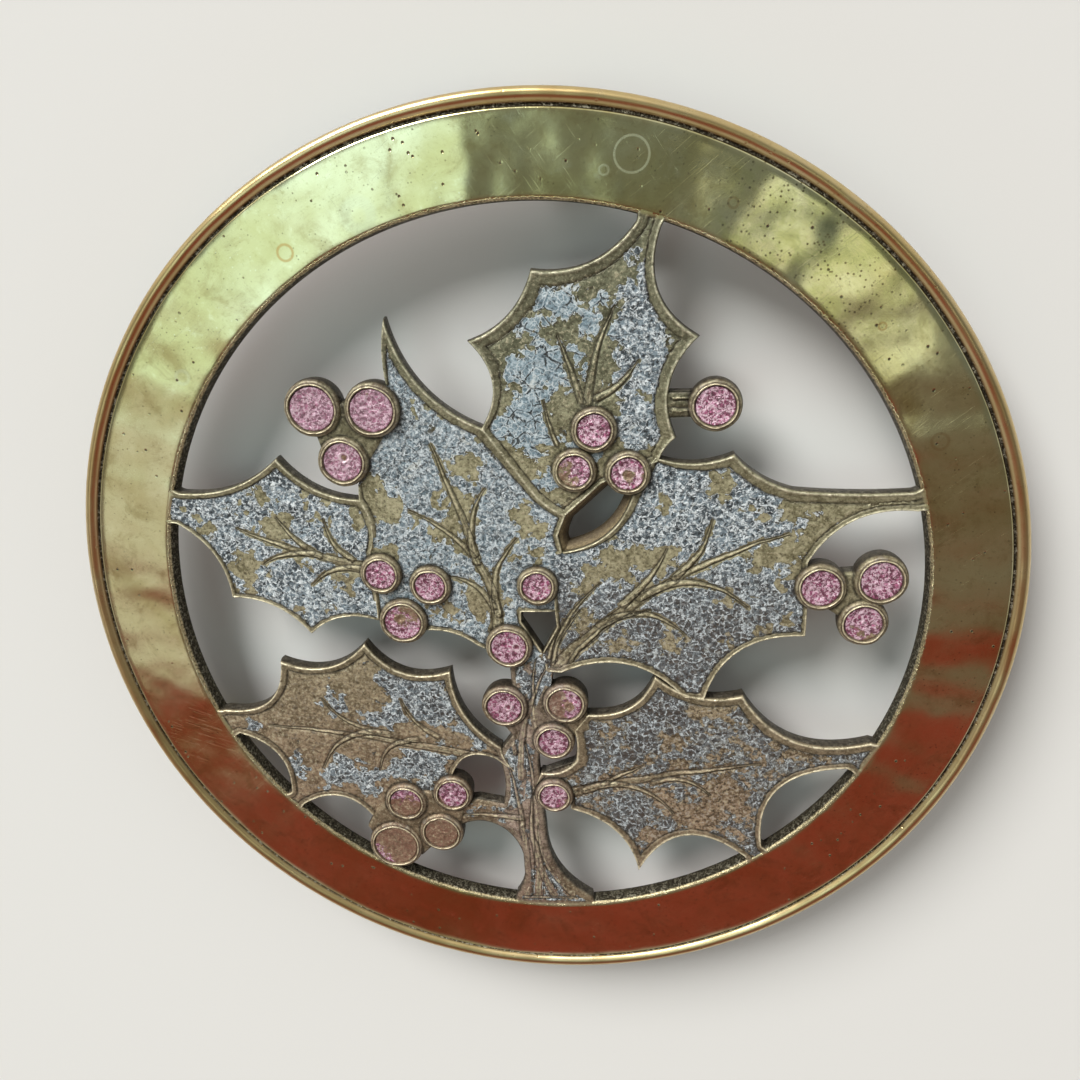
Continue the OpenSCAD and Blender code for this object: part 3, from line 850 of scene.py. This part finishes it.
for i, (corners, veins, height) in enumerate(zip(web_edges, web_veins, web_heights)):
    web_round = [(0, height - 0.4), (0.15, height - 0.2), (0.4, height - 0.06), (0.8, height)]
    bm = cast_sheet([(*corner, 0, 1.0) for corner in corners], veins, web_round, line=0.0)
    walled(bm, wall_profile)
    web = piece_from(bm, f"web_{i + 1}", cast_brass)
    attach(web, "root")
    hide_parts("casting")

# The bean-shaped hole in the middle has sloping walls, so it is narrower below
bean_round = [(0.072, 0.132, -0.16, 1), (0.252, 0.3, -0.1, 1), (0.21, 0.35, 0, 1),
              (0.163, 0.327, 0, 1), (0.073, 0.237, -0.04, 1), (0.055, 0.178, -0.06, 1)]
bean_mouth, bean_foot = -0.7, -3.15
# Down the slope: each step's inset, and its height against the top
bean_steps = [(0.9, -1.2), (0.7, -2.2), (0.5, -3.1)]
bm = bmesh.new()
corners = [bm.verts.new((p.x * mm, p.y * mm, (top_z + bean_mouth) * mm))
           for p, _, _ in walked(bean_round, 0.4)]
mouth = bm.faces.new(corners)
bm.normal_update()
for inset, height in bean_steps:
    bmesh.ops.inset_region(bm, faces=[mouth], thickness=inset * mm, use_boundary=True,
                           use_even_offset=True)
    bmesh.ops.smooth_vert(bm, verts=mouth.verts[:], factor=0.4, use_axis_x=True, use_axis_y=True)
    for v in mouth.verts:
        v.co.z = (top_z + height) * mm
bmesh.ops.delete(bm, geom=[mouth], context="FACES_ONLY")
rims = [edge for edge in bm.edges if edge.is_boundary]
outer = [edge for edge in rims if edge.verts[0].co.z > (top_z - 1) * mm]
made = bmesh.ops.extrude_edge_only(bm, edges=outer)["geom"]
for v in made:
    if isinstance(v, bmesh.types.BMVert):
        v.co.z = (top_z + bean_foot) * mm
bmesh.ops.bridge_loops(bm, edges=[edge for edge in bm.edges if edge.is_boundary])
bmesh.ops.recalc_face_normals(bm, faces=bm.faces)
bean = piece_from(bm, "bean_hole", sand_brass)
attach(bean, "root")
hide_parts("casting")

# THE BERRY CUPS
# Each berry is a small cup cast proud of the leaves, with a thin lip, worn bright and partly
# painted as highlight, and a shallow pocket.
# The cups are cleaned by hand, so no two are quite round.

cup_z, pocket_z, cup_steps = 15.4, 14.3, 64


def cup_profile(r):
    """The cup from the middle of its underside, over the lip, to the middle of its pocket."""
    return [(0, base_z), (r - 0.25, base_z), (r - 0.05, base_z + 0.15), (r + 0.02, 11.6),
            (r + 0.12, 12.3), (r + 0.18, 13.0), (r + 0.18, 13.7), (r + 0.12, 14.3),
            (r + 0.02, 14.68), (r - 0.1, 14.92), (r - 0.25, 15.1), (r - 0.4, 15.14),
            (r - 0.5, 15.17), (r - 0.58, 15.28), (r - 0.66, 15.37), (r - 0.74, cup_z),
            (r - 0.82, 15.35), (r - 0.9, 15.22), (r - 0.98, 15.02), (r - 1.06, 14.75),
            (r - 1.12, pocket_z), (0, pocket_z)]


cup_brass, point = new_finish("cup_brass")
z = cross_axes(point)[2]
metal, sand, stain = bare_brass(point)
patch = point.grain(0.5, 5.0, 0.7)
rim = point.marked("rim")[0]
ragged = point.grain(0.9, 5.0, 0.75)
# The lip and the shoulder: worn brass with painted highlight; the seam between them is a painted
# shadow line
lip = rim.band(-0.88, -0.8, -0.66, -0.56) * ragged.rise(0.36, 0.54)
seam_shade = rim.band(-0.62, -0.52, -0.46, -0.34) * ragged.rise(0.3, 0.5)
shoulder = rim.band(-0.36, -0.24, -0.12, 0.0) * ragged.rise(0.44, 0.6)
traces = patch.rise(0.5, 0.6) * sand.rise(0.4, 0.6) * z.fall(15.2, 15.38)
metal = layered(
    metal,
    (traces * 0.6, (0.42, 0.46, 0.46)),
    (0.25 + patch.rise(0.35, 0.6) * 0.4, (0.125, 0.072, 0.044)),
    (shoulder * 0.5, (0.56, 0.50, 0.36)),
    (seam_shade * 0.65, (0.045, 0.03, 0.018)),
    (lip * 0.85, (0.82, 0.73, 0.50)),
    # Painted shade: the cup's lower wall is coloured nearly black
    (z.fall(14.0, 14.85) * 0.9,
     sand.rise(0.35, 0.65).tint((0.014, 0.011, 0.008), (0.06, 0.047, 0.032))))
surface(point, Base_Color=metal, Metallic=0.45, Roughness=0.5 - 0.16 * lip,
        Normal=sand.relief(0.15, stain.relief(0.10)))

for i, (cx, cy, share) in enumerate(berry_cups):
    bm = turned(cup_profile(share * opening_r), cup_steps)
    rim_layer, = new_layers(bm, "rim")
    for v in bm.verts:
        way = Vector((v.co.x, v.co.y, 0))
        v[rim_layer] = way.length / mm - share * opening_r
        if way.length > 1e-6:
            way.normalize()
            high = held((v.co.z / mm - 13.5) / 1.5)
            v.co += way * mm * (0.13 * noise.noise(way * 1.4 + Vector((0, 0, 7.7 * i)))
                                + 0.05 * noise.noise(way * 4 + Vector((0, 5, 7.7 * i)))) * high
            v.co.z -= mm * high * (0.12 * abs(noise.noise(way * 1.6 + Vector((3, 0, 9.1 * i))))
                                   + 0.05 * abs(noise.noise(way * 5 + Vector((3, 0, 9.1 * i)))))
    bmesh.ops.translate(bm, verts=bm.verts, vec=Vector((cx, cy, 0)) * opening_r * mm)
    cup = piece_from(bm, f"berry_cup_{i + 1}", cup_brass)
    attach(cup, "root")
    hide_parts("casting")

# THE LEAF LACQUER
# A thin silver-blue lacquer lies in the fields of the leaves and of the stem. Age has crazed it
# into plates or wrinkled it, and in places it has flaked away and shows the brass.

# For each leaf: how bare it is, how wrinkled, how thin the lacquer has worn, and its places in
# shares, x, y and reach. A place is bare, or with a negative reach still covered.
leaf_wear = {
    "top_leaf": (0.88, 0.1, 0, [
        (0.04, 0.765, -0.048), (-0.015, 0.7, -0.024), (0.13, 0.715, -0.027), (0.15, 0.765, -0.018),
        (0.105, 0.745, -0.014), (-0.04, 0.605, -0.042), (0.035, 0.61, -0.05), (0.02, 0.56, -0.045),
        (0.01, 0.65, -0.018), (0.03, 0.665, -0.015), (-0.02, 0.515, -0.04), (-0.04, 0.46, -0.042),
        (0.02, 0.435, -0.032), (-0.07, 0.455, -0.028), (0.005, 0.49, -0.03), (-0.05, 0.55, 0.02),
        (0.06, 0.53, 0.03), (0.24, 0.775, -0.04), (0.265, 0.7, -0.052), (0.21, 0.71, -0.03),
        (0.25, 0.62, -0.055), (0.29, 0.61, -0.035), (0.27, 0.53, -0.055), (0.23, 0.5, -0.035),
        (0.28, 0.46, -0.035), (0.235, 0.435, -0.022), (0.22, 0.885, -0.014), (0.245, 0.85, -0.02),
        (0.15, 0.39, -0.02), (0.02, 0.33, -0.03), (0.1, 0.64, -0.018), (0.12, 0.6, -0.012),
        (0.265, 0.55, 0.013), (0.1, 0.42, -0.02), (0.17, 0.55, -0.016), (0.22, 0.57, -0.03)]),
    "centre_leaf": (0.15, 0.55, 0, [
        (-0.425, 0.27, 0.05), (-0.385, 0.225, 0.03), (-0.17, 0.355, 0.036), (-0.04, 0.24, 0.022),
        (-0.015, 0.2, 0.034), (-0.195, 0.25, 0.035), (-0.225, 0.19, 0.036), (-0.2, 0.13, 0.026),
        (-0.26, 0.16, 0.022), (-0.38, 0.1, 0.02), (-0.45, 0.11, 0.022), (-0.22, 0.47, 0.013),
        (-0.31, 0.51, 0.009), (-0.24, -0.04, 0.02), (-0.285, -0.045, 0.012),
        (-0.15, -0.03, 0.032), (-0.17, 0.0, 0.02), (-0.1, 0.02, 0.022), (0.0, 0.115, 0.018),
        (-0.355, 0.66, 0.018), (-0.13, 0.42, 0.013), (-0.25, 0.27, 0.016), (-0.3, 0.2, 0.012),
        (-0.06, 0.12, 0.016), (-0.235, 0.5, 0.018), (-0.26, 0.56, 0.016), (-0.4, 0.12, 0.02)]),
    "left_leaf": (0.12, 0.7, 0, [
        (-0.785, 0.055, 0.042), (-0.8, 0.02, 0.025), (-0.88, 0.16, 0.026), (-0.73, 0.265, 0.026),
        (-0.69, 0.165, 0.04), (-0.735, 0.185, 0.018), (-0.8, 0.215, 0.014), (-0.575, 0.215, 0.02),
        (-0.47, 0.2, 0.022), (-0.55, 0.275, 0.024), (-0.6, 0.275, 0.018), (-0.53, 0.03, 0.014),
        (-0.49, 0.04, 0.02), (-0.5, -0.005, 0.02), (-0.65, -0.07, 0.02), (-0.55, -0.05, 0.014),
        (-0.79, -0.02, 0.018), (-0.63, 0.08, 0.018), (-0.66, 0.105, 0.014), (-0.92, 0.2, 0.012)]),
    "right_leaf": (0.14, 0.85, 0, [
        (0.46, 0.325, 0.034), (0.53, 0.28, 0.013), (0.33, 0.27, 0.016), (0.57, 0.24, 0.018),
        (0.57, 0.14, 0.036), (0.62, 0.165, 0.036), (0.67, 0.18, 0.03), (0.22, 0.1, 0.052),
        (0.18, 0.14, 0.026), (0.27, 0.13, 0.03), (0.33, 0.13, 0.034), (0.125, 0.03, 0.024),
        (0.15, 0.08, 0.028), (0.36, -0.105, 0.032), (0.225, -0.125, 0.032), (0.5, 0.03, 0.018),
        (0.56, 0.03, 0.012), (0.12, -0.05, 0.036), (0.65, 0.29, 0.046), (0.62, 0.07, 0.014),
        (0.68, 0.1, 0.03), (0.75, 0.29, 0.05), (0.84, 0.3, 0.05), (0.92, 0.31, 0.03),
        (0.7, 0.22, 0.03), (0.5, -0.1, 0.014), (0.6, -0.07, 0.02), (0.66, -0.04, 0.02)]),
    "low_left_leaf": (0.86, 0.8, 0.3, [
        (-0.37, -0.3, -0.05), (-0.3, -0.3, -0.05), (-0.29, -0.37, -0.045), (-0.24, -0.35, -0.035),
        (-0.42, -0.39, -0.034), (-0.47, -0.4, -0.024), (-0.42, -0.27, -0.03), (-0.37, -0.37, -0.03),
        (-0.585, -0.345, -0.03), (-0.57, -0.37, -0.016), (-0.56, -0.58, -0.045),
        (-0.6, -0.605, -0.028), (-0.49, -0.61, -0.035), (-0.63, -0.6, -0.02), (-0.35, -0.53, -0.05),
        (-0.29, -0.51, -0.045), (-0.3, -0.57, -0.03), (-0.4, -0.565, -0.03), (-0.45, -0.58, -0.02),
        (-0.7, -0.575, -0.022), (-0.7, -0.53, -0.014), (-0.33, -0.62, -0.03),
        (-0.16, -0.43, -0.03), (-0.2, -0.4, -0.024), (-0.83, -0.43, -0.02)]),
    "low_right_leaf": (0.44, 1, 0.9, [
        (0.36, -0.3, -0.045), (0.3, -0.35, -0.04), (0.28, -0.385, -0.03), (0.42, -0.35, -0.02),
        (0.535, -0.31, -0.02), (0.15, -0.4, -0.028), (0.17, -0.48, -0.036), (0.3, -0.42, -0.03),
        (0.26, -0.46, -0.028), (0.42, -0.45, -0.03), (0.48, -0.3, 0.036), (0.44, -0.32, 0.018),
        (0.38, -0.41, 0.028), (0.2, -0.35, 0.026), (0.215, -0.4, 0.016), (0.26, -0.65, -0.035),
        (0.3, -0.7, -0.026), (0.22, -0.63, -0.018), (0.53, -0.6, 0.06), (0.45, -0.66, 0.05),
        (0.36, -0.6, 0.03), (0.4, -0.5, 0.018), (0.33, -0.74, 0.03), (0.72, -0.43, 0.03)]),
    "stem": (0.5, 1, 0.4, [
        (0.0, -0.24, -0.03), (-0.04, -0.25, -0.022), (-0.06, -0.57, -0.02), (0.05, -0.93, -0.03),
        (-0.03, -0.7, 0.04), (-0.0, -0.82, 0.05), (-0.05, -0.4, 0.03), (-0.15, -0.69, 0.03)])}

lacquer, point = new_finish("silver_blue_lacquer")
crease_shade_and_patina, bare, wrinkled, thin = point.marked("crease_shade_and_patina", "bare", "wrinkled", "thin")


def swayed(point, scale, reach):
    """The point, pushed about by a noise."""
    push = point.node("ShaderNodeTexNoise", {}, {"Vector": point, "Scale": scale, "Detail": 2.0},
                      out=1)
    push = point.node("ShaderNodeVectorMath", {"operation": "SUBTRACT"},
                      {0: push, 1: (0.5, 0.5, 0.5)})
    return point.node("ShaderNodeVectorMath", {"operation": "MULTIPLY_ADD"},
                      {0: push, 1: (reach, reach, reach), 2: point})


jagged = swayed(point, 1.5, 0.55)
plate_gap = jagged.cells(0.42, "DISTANCE_TO_EDGE")
plate = jagged.chance(0.42)
chip = jagged.chance(1.0)
chip_gap = jagged.cells(1.0, "DISTANCE_TO_EDGE")
fine = point.grain(1.15, 2.0, 0.75)
crumb = point.grain(0.9, 6.0, 0.75, 0.3)
shade = point.grain(0.28, 4.0, 0.65, 0.4)
worms = swayed(point, 0.9, 1.8).cells(0.7, "DISTANCE_TO_EDGE").fall(0.05, 0.16)
folds = point.grain(1.3, 4.0, 0.8, 1.2)

wear = bare + (0.55 - 0.2 * wrinkled) * (plate - 0.5) + 0.3 * (chip - 0.5)
wear = wear + (0.22 + 0.34 * wrinkled) * (crumb - 0.5)
gone = wear.rise(0.49 - 0.04 * thin, 0.52 + 0.09 * thin)
# Painted highlight along the lifted edges of the flakes
lifted_edge_highlight = wear.band(0.38, 0.46, 0.48, 0.5)

# Lying flat, the lacquer is crazed into plates of uneven tone with pale chipped edges
light, dark = fine.rise(0.54, 0.61), fine.fall(0.39, 0.46)
flat_coat = (0.1 + plate * 0.35 + chip * 0.2 + shade.rise(0.35, 0.65) * 0.35).tint(
    (0.09, 0.14, 0.175), (0.28, 0.37, 0.42))
crack = plate_gap.fall(0.02, 0.06) * point.grain(0.3, 2.0).rise(0.44, 0.54)
chip_line = chip_gap.fall(0.02, 0.08) * point.grain(0.45, 2.0).rise(0.44, 0.54)
plate_edge = plate_gap.band(0.05, 0.09, 0.1, 0.16) * (1 - plate)
flat_coat = layered(
    flat_coat,
    (light * 0.4, (0.64, 0.73, 0.79)),
    (dark * 0.7, (0.04, 0.05, 0.057)),
    (plate_edge * 0.6, (0.66, 0.73, 0.76)),
    (crack * 0.9, (0.03, 0.03, 0.025)),
    (chip_line * 0.7, (0.66, 0.72, 0.74)))

# Wrinkled, it is dark with bright ridges. Where it is thin, the brown of the brass comes through
ridges = worms * folds.rise(0.44, 0.54)
wrinkle_light = ridges.most(light * 0.6) * (0.92 - 0.42 * thin)
wrinkled_coat = shade.rise(0.36, 0.62).tint((0.055, 0.07, 0.08), (0.21, 0.265, 0.305))
wrinkled_coat = layered(
    wrinkled_coat,
    (dark * 0.9, (0.018, 0.02, 0.021)),
    (wrinkle_light, (0.86, 0.92, 0.95)))
style = (wrinkled + 0.5 * (crumb - 0.5)).rise(0.3, 0.7)

# Where it is gone, the brass shows, darkest next to what is left
old, sand, _ = bare_brass(point)
edge_shade = wear.band(0.5, 0.52, 0.54, 0.58)
old = layered(
    old,
    (edge_shade * 0.75, (0.045, 0.036, 0.02)),
    (thin * dark * 0.8, (0.04, 0.028, 0.02)),
    (thin * light * 0.5, (0.56, 0.53, 0.47)))
coat = layered(
    style.tint(flat_coat, wrinkled_coat),
    (thin * (1 - ridges) * folds.rise(0.38, 0.6) * 0.8, (0.17, 0.115, 0.075)),
    (thin * (1 - ridges) * 0.75, (0.045, 0.036, 0.03)),
    (lifted_edge_highlight * (0.65 - 0.4 * thin), (0.74, 0.77, 0.74)),
    (gone, old),
    # The creases' dark lines run on into the lacquer, partly patina and partly painted shade
    (crease_shade_and_patina * 0.95, (0.028, 0.022, 0.014)))
lacquer_relief = ((1 - gone) * (1 - crack)).relief(0.2, sand.relief(0.12))
lacquer_relief = (wrinkle_light * style * (1 - gone)).relief(0.1, lacquer_relief)
lacquer_relief = fine.relief(0.08, lacquer_relief)
surface(point, Base_Color=coat, Metallic=0.2 + 0.25 * gone, Roughness=0.42 + 0.15 * crumb,
        Normal=lacquer_relief)

# Down the lacquer's edge, sunk in the field: distance outwards and height against the top
lacquer_wall = [(0.02, -0.75), (0.0, -0.8)]
# It begins past this share of the border, and ends where a leaf is this far merged with the ring
coat_from, coat_end = 0.92, 0.4
# Its rise over the field, and how far it sinks where it is bare and over a vein
coat_lift, bare_sink, vein_sink = 0.1, 0.05, 0.22
# How the edges of bare places wander: reach in shares, scale and layer of each noise
wander = [(0.034, 420, 0), (0.016, 1150, 4)]

for name, (base, wrinkles, thinness, places) in leaf_wear.items():
    bm = sheets[name]
    share_layer, rib_layer, vein_layer, met_layer = (
        bm.verts.layers.float[key] for key in ("shore", "rib", "vein", "met"))
    bare_layer, wrinkle_layer, thin_layer = new_layers(bm, "bare", "wrinkled", "thin")
    bmesh.ops.delete(bm, geom=[v for v in bm.verts if v[share_layer] < coat_from
                               or v[met_layer] > coat_end], context="VERTS")
    for v in bm.verts:
        sx, sy = v.co.x / mm / opening_r, v.co.y / mm / opening_r
        drift = [sum(reach * noise.noise(v.co * scale + Vector((0, 0, layer + k)))
                     for reach, scale, layer in wander) for k in (0, 9)]
        value = base
        for place_x, place_y, reach in places:
            near = math.hypot(sx + drift[0] - place_x, sy + drift[1] - place_y) / abs(reach)
            if near < 1.5:
                value += ((1 if reach > 0 else 0) - value) * (1 - held(near - 0.5))
        value = max(value, (0.45 if name == "stem" else 0.8) * bell(v[vein_layer], 0.6))
        v[bare_layer] = value
        v[wrinkle_layer], v[thin_layer] = wrinkles, thinness
        # The top leaf is wrinkled to the right only, and the right leaf is worn thin low down
        if name == "top_leaf":
            v[wrinkle_layer] = held(0.1 + (sx - 0.16) * 15, 0.1, 0.7)
        elif name == "right_leaf":
            v[thin_layer] = held((0.14 - sy) * 3.5, 0.0, 0.75)
        v.co.z += (coat_lift - bare_sink * min(1.0, value) - vein_sink * v[rib_layer]) * mm
    walled(bm, lacquer_wall)
    coat_piece = piece_from(bm, f"{name}_lacquer", lacquer)
    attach(coat_piece, "root")
    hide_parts(f"{name}_enamel")

# THE PINK BERRIES
# A pink glitter lacquer was run into each cup and has shrunk into wrinkles. A few have lost some.

# How much of each berry's lacquer is lost or faded
berry_wear = [0.1, 0.3, 0.1, 0.1, 0.6, 0.4, 0.15, 0.25, 0.3, 0.5, 0.25, 0.3, 0.58, 0.4, 0.15,
              0.2, 0.72, 0.25, 0.4, 0.85, 0.4, 1.7, 1.3]
# Which side of a berry has lost the most, where it is plain
berry_side = {4: 3.6, 9: 4.7, 12: 0.9, 16: 3.2, 19: 4.6, 21: 1.5, 22: 0.8}

pink_lacquer, point = new_finish("pink_glitter")
bare, pale, shore, pit = point.marked("bare", "pale", "shore", "pit")
wrinkle = point.grain(0.9, 4.0, 0.78, 1.5)
foil = swayed(point, 1.1, 1.4).cells(0.95, "DISTANCE_TO_EDGE").fall(0.03, 0.15)
flake = swayed(point, 1.4, 0.5).chance(1.6)
spark = point.grain(1.5, 2.0, 0.75)
gone = (bare + 0.9 * (point.grain(0.55, 5.0, 0.68) - 0.5)).rise(0.47, 0.54)
fill = wrinkle.rise(0.4, 0.58).tint((0.10, 0.01, 0.035), (0.51, 0.12, 0.27))
fill = layered(
    fill,
    (flake.fall(0.1, 0.4) * 0.65, (0.10, 0.012, 0.035)),
    (flake.rise(0.68, 0.9) * 0.6, (0.88, 0.50, 0.68)),
    (foil * wrinkle.rise(0.42, 0.54) * 0.95, (0.98, 0.76, 0.86)),
    (spark.rise(0.56, 0.61) * 0.85, (0.97, 0.74, 0.86)),
    (spark.fall(0.38, 0.44) * 0.85, (0.06, 0.006, 0.02)),
    (pale * 0.45, (0.42, 0.28, 0.34)),
    (pit.rise(0.45, 0.75) * 0.85, (0.20, 0.06, 0.085)),
    (pit.band(0.04, 0.12, 0.2, 0.45) * 0.75, (0.93, 0.72, 0.79)),
    # Painted shadow: the fill darkens towards the cup's rim
    (shore.fall(0.0, 0.35) * 0.75, (0.085, 0.02, 0.03)))
y = cross_axes(point)[1]
# The fill is darker towards the bottom of the spray
fill = (0.26 - 0.18 * y.rise(-25, 30)).tint(fill, (0.13, 0.025, 0.04))
old = bare_brass(point)[0]
fill = gone.tint(fill, (wrinkle.rise(0.3, 0.6) * 0.8).tint(old, (0.21, 0.10, 0.07)))
surface(point, Base_Color=fill, Metallic=0.3, Roughness=0.28 + 0.2 * wrinkle,
        Normal=wrinkle.relief(0.2, spark.relief(0.09)))

# Round craters that bubbles left: berry, place from its middle and radius in millimetres
craters = [(14, 1.5, 0.1, 0.8), (15, 0.7, 0.1, 0.75), (2, 0.3, 0.9, 0.9), (5, 0.0, -0.2, 1.1),
           (16, 0.9, -0.5, 0.9), (12, -0.6, 0.7, 0.9)]

fill_z, fill_base, fill_inset, fill_rings, fill_steps = 14.95, 14.35, 1.0, 16, 56
for i, (cx, cy, share) in enumerate(berry_cups):
    r = share * opening_r - fill_inset
    bm = turned([(0, fill_base), (r, fill_base), (r, fill_z - 0.3), (r * 0.97, fill_z - 0.1)]
                + [(r * (1 - k / fill_rings), fill_z) for k in range(1, fill_rings + 1)],
                fill_steps)
    bare_layer, pale_layer, shore_layer, pit_layer = new_layers(bm, "bare", "pale", "shore", "pit")
    side = berry_side.get(i, 2.4 * i)
    lean = Vector((math.cos(side), math.sin(side), 0))
    for v in bm.verts:
        bald = 0.0
        spot = v.co * 1000 + Vector((11 * i, 0, 0))
        if v.co.z > (fill_z - 0.2) * mm:
            folds = 1 - abs(noise.noise(spot * 0.8)) * 2.2
            v.co.z += mm * (0.12 * folds - 0.15 + 0.1 * noise.noise(spot * 1.9)
                            + 0.06 * noise.noise(spot * 4)
                            + 0.2 * (v.co.to_2d().length / mm / r) ** 4)
            for berry, place_x, place_y, size in craters:
                if berry == i:
                    off = math.hypot(v.co.x / mm - place_x, v.co.y / mm - place_y)
                    v.co.z += mm * (0.12 * bell(off - size, 0.2) - 0.16 * bell(off, size * 0.6))
                    v[pit_layer] = bell(off, size * 0.7)
                    bald = bell(off, size * 0.75) if size > 0.85 else 0.0
        v[shore_layer] = r - v.co.to_2d().length / mm
        tilt = v.co.dot(lean) / (r * mm)
        v[bare_layer] = 0.12 + 0.55 * berry_wear[i] + 0.35 * berry_wear[i] * tilt + 0.6 * bald
        v[pale_layer] = 1.0 if i < 3 else 0.35
    bmesh.ops.translate(bm, verts=bm.verts, vec=Vector((cx, cy, 0)) * opening_r * mm)
    fill_piece = piece_from(bm, f"pink_berry_{i + 1}", pink_lacquer)
    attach(fill_piece, "root")
    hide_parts(f"berry_enamel_{i + 1}")

# THE TABLE, THE LIGHT AND THE CAMERA
# A pale plain table, a soft lamp far off behind and to the left, three soft panels overhead, and
# the photograph's viewpoint.

table_finish, point = new_finish("pale_table")
surface(point, Base_Color=(0.72, 0.715, 0.70, 1), Roughness=0.85)
table_reach = 6
bm = bmesh.new()
bmesh.ops.create_grid(bm, x_segments=1, y_segments=1, size=table_reach)
table = piece_from(bm, "table", table_finish)

world = bpy.data.worlds.new("studio")
bpy.context.scene.world = world
world.use_nodes = True
sky = Tone(world.node_tree, world.node_tree.nodes.new("ShaderNodeTexCoord").outputs["Generated"])
# The surroundings are red in front, which the ring reflects, and pale behind and low all round
lean, up = (sky.node("ShaderNodeVectorMath", {"operation": "DOT_PRODUCT"}, {0: sky, 1: way}, 1)
            for way in ((0, 1, 0), (0, 0, 1)))
glow = lean.rise(-0.50, -0.40).tint((0.25, 0.04, 0.024), (0.17, 0.13, 0.095))
glow = layered(
    glow,
    (lean.rise(-0.28, -0.05), (0.165, 0.178, 0.16)),
    (up.fall(0.2, 0.75) * lean.rise(-0.6, 0.1), (0.48, 0.48, 0.46)),
    (up.fall(0.42, 0.64), (0.53, 0.525, 0.50)),
    (lean.rise(0.1, 0.9), (0.75, 0.76, 0.74)))
world.node_tree.links.new(glow.socket, world.node_tree.nodes["Background"].inputs["Color"])
world.node_tree.nodes["Background"].inputs["Strength"].default_value = 1.0

window = bpy.data.lights.new("window", "SUN")
window.energy, window.angle, window.color = 3.66, 0.5, (1.0, 0.99, 0.96)
window_holder = bpy.data.objects.new("window", window)
window_holder.rotation_euler = Vector((0.45, -0.7, -0.55)).to_track_quat("-Z", "Y").to_euler()
bpy.context.scene.collection.objects.link(window_holder)

# Soft panels overhead: place, width, length, power and colour
for name, place, size, power, colour in (
        ("left_panel", (-0.29, 0.05, 0.714), (0.34, 0.34), 0.52, (0.76, 1.0, 1.0)),
        ("low_panel", (-0.45, -0.23, 0.714), (0.30, 0.34), 0.18, (0.98, 1.0, 0.88)),
        ("right_panel", (0.175, -0.01, 0.714), (0.13, 0.14), 0.075, (0.95, 1.0, 0.80))):
    lamp = bpy.data.lights.new(name, "AREA")
    lamp.shape = "RECTANGLE"
    lamp.size, lamp.size_y = size
    lamp.energy, lamp.color = power, colour
    holder = bpy.data.objects.new(name, lamp)
    holder.location = place
    bpy.context.scene.collection.objects.link(holder)

# The pose puts the ring's two circles where the photograph has them
eye = bpy.data.cameras.new("eye")
eye.sensor_width, eye.lens = 36, 33.33
camera = bpy.data.objects.new("eye", eye)
camera.matrix_world = Matrix((
    (0.99422612, -0.0388566, 0.10002294, 0.01929),
    (0.0, 0.93213433, 0.36211268, 0.07914),
    (-0.10730528, -0.36002189, 0.92675229, 0.18574),
    (0, 0, 0, 1)))
bpy.context.scene.collection.objects.link(camera)
bpy.context.scene.camera = camera
bpy.context.scene.view_settings.view_transform = "Standard"
